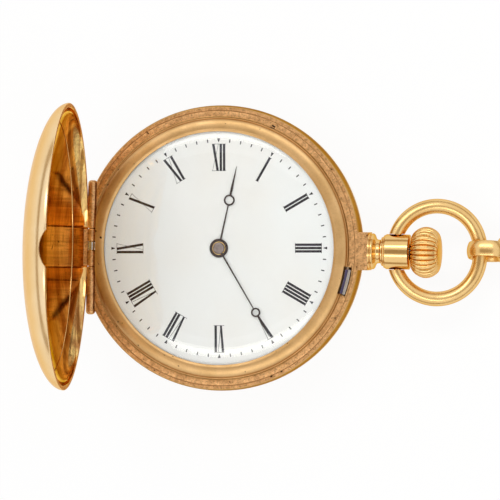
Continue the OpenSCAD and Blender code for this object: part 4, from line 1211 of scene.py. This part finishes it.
@dataclass
class Hands:
    """The browned moon hands and their boss."""

    hour: HandSize = HandSize(12.7, 8.04, 6.23, 0.7, 10.6, 1.19, 0.07, 0.15, 0.85)
    minute: HandSize = HandSize(149.7, 8.22, 9.42, 0.6, 13.0, 0.74, 0.065, 0.13, 0.45)
    thick: float = 0.1
    ring_wall: float = 0.2
    neck: float = 0.8
    sink: float = 0.015
    edge: float = 0.012
    tip_half: float = 0.02
    smooth: float = 40.0

    def hand(self, name: str, size: HandSize) -> bpy.types.Object:
        """Makes one hand: hub, ring, shaft, neck and blade.

        Args:
            name: Its name.
            size: Its sizes.

        Returns:
            The hand.
        """
        shape = Shape(name)
        place = turned(CASE.dial_turn - size.past)
        low, high = size.low, size.low + self.thick
        ring_in = size.ring_r - self.ring_wall
        hub = Shape("hub").turn(rounded([(size.bore, low), (size.hub_r, low), (size.hub_r, high),
                                         (size.bore, high)], [0, 0.02, 0.05, 0.02]),
                                loop=True, steps=48)
        eye = Shape("eye").turn(rounded([(ring_in, low + 0.01), (size.ring_r, low + 0.01),
                                         (size.ring_r, high), (ring_in, high)],
                                        [0.02, 0.02, 0.05, 0.05]), loop=True, steps=36)
        eye.move(Matrix.Translation((0, size.ring_at, 0)))
        for piece in (hub, eye):
            shape.take(piece.mesh, place)
        past_ring = size.ring_at + size.ring_r
        for start, end, half, end_half in (
                (size.hub_r - 0.06, size.ring_at - size.ring_r + 0.08, 1.5 * size.shaft, size.shaft),
                (past_ring - 0.1, past_ring + self.neck, 0.75 * size.blade, size.blade),
                (past_ring + self.neck, size.tip, size.blade, self.tip_half)):
            bar = bmesh.new()
            bmesh.ops.create_cube(bar, size=1.0)
            for vert in bar.verts:
                lift = high - self.sink if vert.co.z > 0 else low + self.sink
                width, reach = (end_half, end) if vert.co.y > 0 else (half, start)
                vert.co = Vector((math.copysign(width, vert.co.x), reach, lift))
            bmesh.ops.bevel(bar, geom=bar.edges[:], offset=self.edge, offset_type="OFFSET",
                            segments=1, profile=0.5, affect="EDGES", material=-1)
            shape.take(bar, place)
        return shape.object()

    def build(self, bench: Dresser) -> None:
        """Makes both hands and the brushed boss cap.

        Args:
            bench: Places the pieces.
        """
        for name, size in (("hour", self.hour), ("minute", self.minute)):
            piece = self.hand(f"{name}_hand_moon", size)
            bench.place(piece, name, Slot.HAND, [Finish.HAND], f"{name}_hand", angle=self.smooth)
        cap = Shape("hand_boss_cap").turn(rounded(
            [(0.0, 8.33), (0.70, 8.33), (0.70, 8.42), (0.5, 8.47), (0.0, 8.48)],
            [0, 0.02, 0.05, 0.05, 0], loop=False), steps=48).object()
        bench.place(cap, "minute", Slot.STEEL, [Finish.BOSS], angle=self.smooth)


@dataclass
class Lid:
    """The open front lid: a polished shell with its flat at the hinge, its notch and its lip."""

    rim_r: float = 17.997
    height: float = 4.897
    wall: float = 0.6
    rim_z: float = 7.92
    open_turn: float = -86.8
    steps: int = 40
    edge: float = 0.07
    edge_lean: float = 0.01
    inner_edge: float = 0.05
    notch_half: float = 2.28
    notch_rise: float = 0.9
    bead_at: float = 15.9
    bead_r: float = 0.09
    lip_in: float = 17.06
    lip_out: float = 17.62
    lip_low: float = 7.93
    lip_high: float = 8.17
    lip_more: float = 3.0

    def pose(self) -> Matrix:
        """The move from shut to the photographed opening."""
        there = Matrix.Translation((CASE.hinge_x, 0.0, CASE.front_hinge_z))
        return there @ turned(self.open_turn, "Y") @ there.inverted()

    def shell(self, bench: Dresser) -> bpy.types.Object:
        """Turns the shell, cuts its flat and its notch, and swings it open.

        Args:
            bench: Makes the cuts.

        Returns:
            The shell.
        """
        inner_r = self.rim_r - self.wall
        outer = dome(self.rim_r, self.height, self.rim_z, self.steps)
        inner = dome(inner_r, self.height - self.wall, self.rim_z, self.steps)
        outer[0] = (self.rim_r - self.edge, self.rim_z)
        outer.insert(1, (self.rim_r - self.edge_lean, self.rim_z + self.edge))
        inner[0] = (inner_r + self.inner_edge, self.rim_z)
        inner.insert(1, (inner_r, self.rim_z + self.inner_edge))
        slots = [0] * (len(outer) - 1) + [2] + [1] * (len(inner) - 1)
        shell = Shape("lid_shell").turn(outer[::-1] + inner, steps=ROUND, slots=slots).object()
        flat = Shape("lid_flat").block((-CASE.far, -CASE.far, 0), (CASE.hinge_flat, CASE.far, 20))
        bench.cut(shell, flat)
        ball = (self.notch_half ** 2 + self.notch_rise ** 2) / (2 * self.notch_rise)
        notch_z = self.rim_z + self.notch_rise - ball
        bench.cut(shell, Shape("pendant_notch").rod((9.0, 0, notch_z), (20.0, 0, notch_z), ball, 96))
        shell.data.transform(in_metres(self.pose()))
        return shell

    def build(self, bench: Dresser) -> None:
        """Makes the shell, the bead inside it and the lip that the catch holds.

        Args:
            bench: Places the pieces.
        """
        # The shell's inside, slot 1, takes painted reflections.
        bench.place(self.shell(bench), "lid", Slot.GOLD,
                    [Finish.LID_OUTSIDE, Finish.PAINTED_REFLECTION_GOLD, Finish.MATT], "front_lid", angle=30.0)
        share = math.sqrt(1 - (self.bead_at / (self.rim_r - self.wall)) ** 2)
        bead_z = self.rim_z + (self.height - self.wall) * share
        bead = Shape("lid_inner_bead").turn(circle((self.bead_at, bead_z), self.bead_r, 12),
                                            steps=ROUND, loop=True).move(self.pose())
        bench.place(bead.object(), "lid", Slot.GOLD, [Finish.POLISHED], angle=60.0)
        lip = Shape("lid_catch_lip").wedge(self.lip_in, self.lip_out, self.lip_low, self.lip_high,
                                           CASE.catch_low - self.lip_more, CASE.catch_high)
        piece = lip.move(self.pose()).object()
        bench.soften(piece, 0.03)
        # The lip takes the same painted reflections.
        bench.place(piece, "lid", Slot.GOLD, [Finish.PAINTED_REFLECTION_GOLD], angle=32.0)


@dataclass
class Hinges:
    """The hinge tubes with rounded ends, seen beside the bezel."""

    radius: float = 0.6
    back_z: float = 5.22
    gap: float = 0.09
    bore: float = 0.25
    lid_bore: float = 0.28
    plain_round: float = 0.06
    outer_round: float = 0.5
    inner_round: float = 0.14
    half_finger: float = 0.5
    back_outer: Point = (5.025, 6.475)
    back_inner: Point = (1.375, 2.975)
    leaf_x: Point = (-17.38, -16.32)
    leaf_z: Point = (7.79, 8.29)
    leaf_in: float = 0.05

    def tube(self, shape: Shape, z: float, start: float, end: float, bore: float,
             round_start: float, round_end: float) -> None:
        """Adds one tube along Y.

        Args:
            shape: The shape that takes it.
            z: Height of its axis.
            start: Its lower end.
            end: Its upper end.
            bore: Radius of its hole.
            round_start: Rounding at its lower end.
            round_end: Rounding at its upper end.
        """
        section = rounded([(bore, start), (self.radius, start), (self.radius, end), (bore, end)],
                          [0.0, round_start, round_end, 0.0], steps=5)
        shape.turn(section, Axis.Y, (CASE.hinge_x, 0, z), 48, loop=True)

    def build(self, bench: Dresser) -> None:
        """Makes the case's tubes, then the lid's tubes and their leaf.

        Args:
            bench: Places the pieces.
        """
        (_, low, _), (_, high, _) = (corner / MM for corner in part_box("case_joint_tubes"))
        (_, lid_low, _), (_, lid_high, _) = (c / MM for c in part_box("front_lid_joint"))
        front_z, plain = CASE.front_hinge_z, self.plain_round
        inner, outer = self.inner_round, self.outer_round
        fixed = Shape("case_hinge_tubes")
        self.tube(fixed, front_z, low, lid_low - self.gap, self.bore, outer, inner)
        self.tube(fixed, front_z, lid_high + self.gap, high, self.bore, inner, outer)
        mirrored = [(-end, -start) for start, end in (self.back_outer, self.back_inner)]
        for start, end in (self.back_outer, self.back_inner, *mirrored):
            self.tube(fixed, self.back_z, start, end, self.bore, plain, plain)
        bench.place(fixed.object(), "case", Slot.GOLD, [Finish.MATT], "case_joint_tubes", angle=34.0)
        moving = Shape("lid_hinge_tube")
        slot = self.half_finger + self.gap
        self.tube(moving, front_z, lid_low, CASE.finger_y - slot, self.lid_bore, inner, plain)
        self.tube(moving, front_z, CASE.finger_y + slot, lid_high, self.lid_bore, plain, inner)
        leaf = Shape("leaf").block((self.leaf_x[0], lid_low + self.leaf_in, self.leaf_z[0]),
                                   (self.leaf_x[1], lid_high - self.leaf_in, self.leaf_z[1]))
        moving.take(leaf.mesh, Lid().pose())
        bench.place(moving.object(), "lid", Slot.GOLD, [Finish.MATT], "front_lid_joint", angle=34.0)


@dataclass
class BackCover:
    """The back cover's shell, with the small flat that the watch rests on."""

    rim_r: float = 18.0
    depth: float = 4.88
    rim_z: float = 4.58
    wall: float = 0.6
    floor_z: float = 0.5
    least_step: float = 0.004
    edge: float = 0.07
    edge_lean: float = 0.01
    steps: int = 48

    def build(self, bench: Dresser) -> None:
        """Turns the cover and cuts its flat at the hinge.

        Args:
            bench: Places the piece.
        """
        inner_r, inner_depth = self.rim_r - self.wall, self.depth - self.wall
        outer = [p for p in dome(self.rim_r, self.depth, self.rim_z, self.steps, -1)
                 if p[1] > self.least_step]
        inner = [p for p in dome(inner_r, inner_depth, self.rim_z, self.steps, -1)
                 if p[1] > self.floor_z + self.least_step]
        foot_r = self.rim_r * math.sqrt(1 - (self.rim_z / self.depth) ** 2)
        floor_r = inner_r * math.sqrt(1 - ((self.rim_z - self.floor_z) / inner_depth) ** 2)
        outer[0] = (self.rim_r - self.edge, self.rim_z)
        outer.insert(1, (self.rim_r - self.edge_lean, self.rim_z - self.edge))
        section = [(0.0, 0.0), (foot_r, 0.0)] + outer[::-1] + inner
        section += [(floor_r, self.floor_z), (0.0, self.floor_z)]
        slots = [0] * (len(outer) + 1) + [1] * (len(inner) + 2)
        shell = Shape("back_shell").turn(section, steps=ROUND, slots=slots).object()
        flat = Shape("back_flat").block((-CASE.far, -CASE.far, -1), (CASE.hinge_flat, CASE.far, 20))
        bench.cut(shell, flat)
        # The cover's inside, slot 1, takes painted reflections.
        bench.place(shell, "back", Slot.GOLD, [Finish.LID_OUTSIDE, Finish.PAINTED_REFLECTION_GOLD],
                    "back_cover", angle=30.0)


@dataclass
class Pendant:
    """The pendant: a block with shoulders at the band, a collar, a waist and a tube."""

    band_r: float = 17.86
    band_swell: float = 0.25
    band_low: float = 4.6
    band_half: float = 1.65
    block_end: float = 19.07
    block_start: float = 17.5
    block_half: float = 2.4
    shoulder_in: float = 1.35
    shoulder_shy: float = 0.01
    top_shy: float = 0.005
    pin_hole_r: float = 0.475
    pin_from: float = 1.32
    pin_to: float = 3.2

    def seat(self, bench: Dresser, piece: bpy.types.Object) -> None:
        """Cuts a piece to the band's swelling side.

        Args:
            bench: Makes the cut.
            piece: The piece.
        """
        side = [(self.band_r + self.band_swell * math.cos(t),
                 self.band_low + self.band_half * (1 + math.sin(t)))
                for t in [math.pi * (i / 16 - 0.5) for i in range(17)]]
        section = [(0.0, 3.0), (self.band_r, 3.0)] + side + [(self.band_r, 9.9), (0.0, 9.9)]
        bench.cut(piece, Shape("band_seat").turn(section, steps=ROUND))

    def body(self, bench: Dresser) -> bpy.types.Object:
        """Turns the pendant's body, seats it on the band and bores the bow's pin holes.

        Args:
            bench: Makes the cuts.

        Returns:
            The body.
        """
        block = [(1.3, 17.5), (2.3, 17.5), (2.3, 19.16), (2.26, 19.22), (2.18, 19.25)]
        collar = [(2.17, 19.31), (2.24, 19.36), (2.28, 19.44), (2.28, 19.54), (2.22, 19.64)]
        waist = [(2.13, 19.72), (1.86, 19.84), (1.66, 19.92), (1.54, 20.04), (1.50, 20.2),
                 (1.50, 20.4), (1.55, 20.52), (1.66, 20.60), (1.80, 20.64), (1.84, 20.72),
                 (1.83, 20.82), (1.90, 20.88), (2.06, 20.94)]
        tube = [(2.10, 21.02), (2.11, 21.1), (2.16, 21.15), (2.21, 21.22), (2.22, 21.3),
                (2.22, 24.1), (2.2, 24.17), (2.14, 24.2), (1.03, 24.2), (1.03, 18.77),
                (1.3, 18.77)]
        piece = Shape("pendant_body").turn(block + collar + waist + tube, Axis.X,
                                           (0, 0, CASE.stem_z), 96, loop=True).object()
        self.seat(bench, piece)
        far, end = CASE.far, self.block_end
        bench.cut(piece, Shape("top_flat").block((0, -far, CASE.rim_z), (end, far, 13)))
        bench.cut(piece, Shape("low_flat").block((0, -far, -5), (end, far, self.band_low)))
        holes = Shape("bow_holes")
        for start, stop in ((self.pin_from, self.pin_to), (-self.pin_to, -self.pin_from)):
            holes.rod((CASE.bow_x, start, CASE.stem_z), (CASE.bow_x, stop, CASE.stem_z),
                      self.pin_hole_r, 36)
        bench.cut(piece, holes)
        return piece

    def build(self, bench: Dresser) -> None:
        """Makes the body and the two shoulders of its block.

        Args:
            bench: Places the pieces.
        """
        body = self.body(bench)
        for face in body.data.polygons:
            middle = face.center / MM
            on_top = middle.z > CASE.rim_z - 0.02 and middle.x < self.block_end + 0.01
            face.material_index = int(face.normal.z > LEVEL and on_top)
        bench.place(body, "case", Slot.GOLD, [Finish.POLISHED, Finish.MATT], "pendant", angle=34.0)
        shape = Shape("pendant_shoulders")
        for low, high in ((-self.block_half, -self.shoulder_in), (self.shoulder_in, self.block_half)):
            shape.block((self.block_start, low, self.band_low + self.shoulder_shy),
                        (self.block_end - self.shoulder_shy, high, CASE.rim_z - self.top_shy))
        shoulders = shape.object()
        self.seat(bench, shoulders)
        for face in shoulders.data.polygons:
            face.material_index = int(face.normal.z > LEVEL)
        bench.soften(shoulders, 0.3)
        bench.place(shoulders, "case", Slot.GOLD, [Finish.POLISHED, Finish.MATT], angle=34.0)


@dataclass
class Crown:
    """The onion crown: 28 rounded ribs that run out into a smooth end."""

    ribs: int = 28
    steps: int = 40
    rib_steps: int = 12
    inner_x: float = 24.55
    outer_x: float = 27.7
    ring_r: float = 1.2016
    bulge_r: float = 2.0284
    middle_x: float = 26.28
    bore_r: float = 0.5
    bore_short: float = 0.9
    groove: float = 0.4
    groove_from: float = 1.66
    groove_run: float = 0.5

    def radius(self, x: float) -> float:
        """Radius of the crown's swelling side at a place along the stem."""
        return self.ring_r + math.sqrt(max(0.01, self.bulge_r ** 2 - (x - self.middle_x) ** 2))

    def section(self) -> list[Point]:
        """The crown's outline, from the middle of its bore round to the middle of its end.

        Returns:
            Its points, as distance from the stem's line and place along it.
        """
        start, end = self.inner_x, self.outer_x
        side = [(self.radius(x), x) for x in
                [start + (end - start) * i / self.steps for i in range(self.steps + 1)]]
        rim_r, bore_end = side[-1][0], end - self.bore_short
        face = [(0.0, bore_end), (self.bore_r, bore_end), (self.bore_r, start + 0.12),
                (1.3, start + 0.1), (1.7, start)]
        cap = [(rim_r - 0.13, end + 0.12), (rim_r - 0.32, end + 0.23), (rim_r - 0.58, end + 0.32),
               (1.7, end + 0.39), (1.3, end + 0.42), (0.0, end + 0.44)]
        return face + side + cap

    def build(self, bench: Dresser) -> None:
        """Turns the crown and presses its ribs.

        Args:
            bench: Places the piece.
        """
        shape = Shape("crown_onion").turn(self.section()[::-1], Axis.X, (0, 0, CASE.stem_z),
                                          self.ribs * self.rib_steps)
        for vert in shape.mesh.verts:
            out = Vector((0, vert.co.y, vert.co.z - CASE.stem_z))
            if out.length < self.groove_from:
                continue
            angle = math.atan2(out.y, out.z)
            ends = min(1.0, (out.length - self.groove_from) / self.groove_run)
            dip = self.groove * ends * (1 - math.sqrt(abs(math.cos(self.ribs * angle / 2))))
            less = (out.length - dip) / out.length
            vert.co.y *= less
            vert.co.z = CASE.stem_z + (vert.co.z - CASE.stem_z) * less
        bmesh.ops.recalc_face_normals(shape.mesh, faces=shape.mesh.faces[:])
        bench.place(shape.object(), "crown", Slot.GOLD, [Finish.POLISHED], "crown", angle=60.0)


def drawn_ring(name: str, section: list[Point], half_flat: float, axis: Axis,
               steps: int = 96) -> Shape:
    """Turns a ring about Z and draws it apart into two bends with straight stretches.

    Args:
        name: The shape's name.
        section: Its section, as distance from the axis and height.
        half_flat: Half the straight stretch.
        axis: The axis that the stretch runs along.
        steps: Steps round.

    Returns:
        The shape.
    """
    shape = Shape(name).turn(section, steps=steps, loop=True)
    shape.move(Matrix.Rotation(math.pi / steps, 4, "Z"))
    along = 1 if axis is Axis.Y else 0
    for vert in shape.mesh.verts:
        vert.co[along] += math.copysign(half_flat, vert.co[along])
    return shape


@dataclass
class Bow:
    """The bow, drawn a little oval, on its two pins."""

    drop: float = 18.0
    bend_r: float = 5.5
    half_flat: float = 0.37
    middle: float = 5.015
    wire_r: float = 0.93
    gap: float = 2.27
    pin_r: float = 0.45
    pin_from: float = 1.4
    pin_in: float = 0.07

    def build(self, bench: Dresser) -> None:
        """Makes the ring, opens it at the pendant and adds the pins.

        Args:
            bench: Places the pieces.
        """
        wire = circle((self.bend_r, 0.0), self.wire_r, 32)
        ring = drawn_ring("bow_ring", wire, self.half_flat, Axis.Y, 128)
        bow = ring.move(Matrix.Translation((self.middle, 0, 0))).object()
        bench.cut(bow, Shape("bow_gap").block((-CASE.far, -self.gap, -CASE.far),
                                              (self.middle, self.gap, CASE.far)))
        ends = Shape("bow_ends")
        for side in (-1, 1):
            ends.rod((0, side * self.pin_from, 0), (0, side * (self.gap + self.pin_in), 0),
                     self.pin_r, 36)
        pins = ends.object()
        there = Matrix.Translation((CASE.bow_x, 0.0, CASE.stem_z)) @ turned(self.drop, "Y")
        bench.soften(bow, 0.05, 50.0)
        for piece, nodes in ((bow, ["bow"]), (pins, [])):
            piece.data.transform(in_metres(there))
            bench.place(piece, "bow", Slot.GOLD, [Finish.WORN], *nodes, angle=40.0)


@dataclass
class Chain:
    """The first two links of the chain, each with a swelling outside and a round inside."""

    wire_at: Point = (32.66, 3.0007)
    wire_r: float = 0.93
    length: float = 5.3
    height: float = 4.7
    thick: float = 0.7
    half_wide: float = 1.0
    swell: float = 0.22
    play: float = 0.05
    overlap: float = 0.25
    lean: float = 12.0
    lift: float = 0.3
    second_shift: float = 0.2

    def section(self) -> list[Point]:
        """The section of a link, as distance from its middle and place across it.

        Returns:
            Its points.
        """
        half, wide = self.height / 2, self.half_wide
        inner_r = half - self.thick
        outer_r = (wide ** 2 + self.swell ** 2) / (2 * self.swell)
        outside = [(half - outer_r + math.sqrt(outer_r ** 2 - y * y), y)
                   for y in [wide * (i / 8 - 1) for i in range(17)]]
        inside = [(2 * inner_r - math.sqrt(inner_r ** 2 - y * y), y)
                  for y in [wide * (1 - i / 8) for i in range(17)]]
        return outside + inside

    def build(self, bench: Dresser) -> None:
        """Makes both links, the second turned by a right angle.

        Args:
            bench: Places the pieces.
        """
        wire_x, z = self.wire_at
        first_x = wire_x - self.wire_r - self.play - self.thick
        second_x = first_x + self.length - 2 * self.thick - self.overlap
        for name, body, x, turn, shift, node in (
                ("chain_link_first", "link_1", first_x, 90 - self.lean, 0.0, "chain_link_1"),
                ("chain_link_second", "link_2", second_x, -self.lean, self.second_shift,
                 "chain_link_2")):
            half_flat = (self.length - self.height) / 2
            shape = drawn_ring(name, self.section(), half_flat, Axis.X)
            piece = shape.move(Matrix.Translation((x + self.length / 2, self.lift, z))
                               @ turned(turn, "X")
                               @ Matrix.Translation((0, shift, 0))).object()
            bench.soften(piece, 0.05, 50.0)
            bench.place(piece, body, Slot.GOLD, [Finish.WORN], node, angle=40.0)


@dataclass
class Movement:
    """The pieces whose CAD shape is right as it is: each gets broken edges and its finish."""

    edge: float = 0.03
    catch_split: float = 16.85

    def build(self, bench: Dresser) -> None:
        """Dresses every node that no other class has replaced.

        Args:
            bench: Places the pieces.
        """
        looks = {
            Slot.GOLD: Finish.POLISHED, Slot.CUVETTE: Finish.CUVETTE, Slot.BRASS: Finish.GILT,
            Slot.COPPER: Finish.COPPER, Slot.NICKEL: Finish.NICKEL, Slot.STEEL: Finish.STEEL,
            Slot.BLUE: Finish.BLUE, Slot.RUBY: Finish.RUBY,
        }
        slots = {part["node"]: Slot(part["material_slot"]) for part in frame["record"]["subparts"]}
        for body, members in frame["record"]["behaviour"]["bodies"].items():
            for node in members:
                if frame["nodes"][node].hide_render:
                    continue
                piece = bench.copy_of(node, f"{node}_dressed")
                finishes = [looks[slots[node]]]
                if node == "lock_spring":
                    # The catch's inner half takes a painted shadow.
                    finishes.append(Finish.VIOLET)
                    self.shade_catch(piece)
                bench.soften(piece, self.edge)
                bench.place(piece, body, slots[node], finishes, node, angle=30.0)

    def shade_catch(self, piece: bpy.types.Object) -> None:
        """Gives the catch's inner half a painted shadow in dark violet steel.

        Args:
            piece: The lock spring.
        """
        turn = math.radians((CASE.catch_high + CASE.catch_low) / 2)
        out = Vector((math.cos(turn), math.sin(turn), 0))
        part = bmesh.new()
        part.from_mesh(piece.data)
        bmesh.ops.bisect_plane(part, geom=part.verts[:] + part.edges[:] + part.faces[:],
                               plane_co=out * self.catch_split * MM, plane_no=out)
        for face in part.faces:
            middle = face.calc_center_median() / MM
            face.material_index = int(middle.dot(out) < self.catch_split and middle.z > CASE.rim_z)
        part.to_mesh(piece.data)
        part.free()


@dataclass(frozen=True)
class Lamp:
    """A soft strip lamp that faces the watch, with its length along X. Places are in metres."""

    name: str
    at: Place
    size: Point
    power: float
    tint: Colour = (1.0, 0.99, 0.97)

    def build(self) -> None:
        """Hangs the lamp."""
        data = bpy.data.lights.new(self.name, "AREA")
        data.shape = "RECTANGLE"
        data.size, data.size_y = self.size
        data.energy, data.color = self.power, self.tint
        lamp = bpy.data.objects.new(self.name, data)
        back = Vector(self.at).normalized()
        right = (Vector((1, 0, 0)) - back * back.x).normalized()
        turn = Matrix((right, back.cross(right), back)).transposed().to_4x4()
        lamp.matrix_world = Matrix.Translation(self.at) @ turn
        bpy.context.scene.collection.objects.link(lamp)


@dataclass(frozen=True)
class Card:
    """A brown card that only polished surfaces see. Places are in metres.

    Attributes:
        name: Its name.
        tone: Its colour.
        at: Its middle.
        size: Length and width of a flat card, or radius and height of one bent to a ring.
        bent: True for the ring.
    """

    name: str
    tone: Colour
    at: Place
    size: Point
    bent: bool = False

    def build(self) -> None:
        """Hangs the card."""
        part, there = bmesh.new(), Matrix.Translation(self.at)
        long, wide = self.size
        if self.bent:
            bmesh.ops.create_cone(part, cap_ends=False, segments=64, radius1=long, radius2=long,
                                  depth=wide, matrix=there)
        else:
            bmesh.ops.create_grid(part, x_segments=1, y_segments=1, size=0.5,
                                  matrix=there @ Matrix.Diagonal((long, wide, 1.0, 1.0)))
        made = linked(self.name, part)
        tree = NodeTree.of_material(self.name)
        made.data.materials.append(tree.close(tree.glow("ShaderNodeEmission", self.tone)))
        made.visible_camera = False
        made.visible_shadow = False
        made.visible_diffuse = False
        made.visible_transmission = False


@dataclass
class Studio:
    """A white floor, strip lamps, brown cards that the polished gold shows, and the camera."""

    tilt: float = 10.5
    rise: float = 0.8
    roll: float = 1.1
    distance: float = 1000.0
    lens: float = 568.8
    sensor: float = 36.0
    near: float = 0.05
    far: float = 20.0
    focus_z: float = 8.3
    look_right: float = 3.975
    look_down: float = 0.228
    floor_share: float = 0.86
    floor_drop: float = 0.05
    floor_half: float = 3.0
    floor_glow: float = 1.04
    room_glow: float = 0.62

    def camera(self) -> None:
        """Makes the camera at the photograph's viewing angle."""
        tilt, rise, roll = (math.radians(a) for a in (self.tilt, self.rise, self.roll))
        back = Vector((math.sin(tilt) * math.cos(rise), math.sin(rise),
                       math.cos(tilt) * math.cos(rise)))
        level = Vector((0, 1, 0)).cross(back).normalized()
        upright = back.cross(level)
        right = level * math.cos(roll) + upright * math.sin(roll)
        up = upright * math.cos(roll) - level * math.sin(roll)
        target = Vector((0, 0, self.focus_z)) + right * self.look_right - up * self.look_down
        data = bpy.data.cameras.new("camera")
        data.lens, data.sensor_width = self.lens, self.sensor
        data.clip_start, data.clip_end = self.near, self.far
        camera = bpy.data.objects.new("camera", data)
        turn = Matrix((right, up, back)).transposed().to_4x4()
        camera.matrix_world = Matrix.Translation((target + back * self.distance) * MM) @ turn
        bpy.context.scene.collection.objects.link(camera)
        bpy.context.scene.camera = camera

    def floor(self) -> None:
        """Lays a floor that the camera, metal and glass see as white, with its shadow kept."""
        part = bmesh.new()
        bmesh.ops.create_grid(part, x_segments=1, y_segments=1, size=self.floor_half)
        floor = linked("floor", part)
        floor.location = (0, 0, -self.floor_drop * MM)
        tree = NodeTree.of_material("white_floor")
        shader = tree.principled(Base_Color=(0.9, 0.9, 0.9, 1.0), Roughness=0.8,
                                 Specular_IOR_Level=0.0)
        white = tree.glow("ShaderNodeEmission", WHITE, self.floor_glow)
        surface = tree.mix(tree.shown(self.floor_share), shader.outputs["BSDF"], white)
        floor.data.materials.append(tree.close(surface))

    def world(self) -> None:
        """Makes a white room for the camera, metal and glass, which lights the object softly."""
        tree = NodeTree(bpy.data.worlds.new("white_room"), "ShaderNodeOutputWorld")
        soft = tree.glow("ShaderNodeBackground", (1.0, 0.995, 0.985), self.room_glow)
        white = tree.glow("ShaderNodeBackground", WHITE)
        bpy.context.scene.world = tree.close(tree.mix(tree.shown(1.0), soft, white))

    def build(self) -> None:
        """Sets up the floor, the cards, the lamps, the world and the camera."""
        self.floor()
        for fitting in (
                Card("camera_card", (0.42, 0.35, 0.27), (0.03, 0.012, 0.6), (0.62, 0.30)),
                Card("low_card", (0.50, 0.40, 0.28), (0.006, 0, 0.062), (0.34, 0.10), True),
                Lamp("upper_strip", (-0.02, 0.36, 0.50), (0.60, 0.12), 0.68),
                Lamp("lower_strip", (0.04, -0.27, 0.56), (0.60, 0.09), 0.48)):
            fitting.build()
        self.world()
        bpy.context.scene.view_settings.view_transform = "Standard"
        self.camera()


def main() -> None:
    """Builds the watch piece by piece, then the studio round it."""
    logging.basicConfig(level=logging.INFO, format="%(message)s")
    bench = Dresser()
    for maker in (CaseBand(), Bezel(), Crystal(), Dial(), Hands(), Lid(), Hinges(), BackCover(),
                  Pendant(), Crown(), Bow(), Chain(), Movement()):
        maker.build(bench)
    Studio().build()
    LOG.info("%d pieces placed", bench.count)


if __name__ == "__main__":
    main()
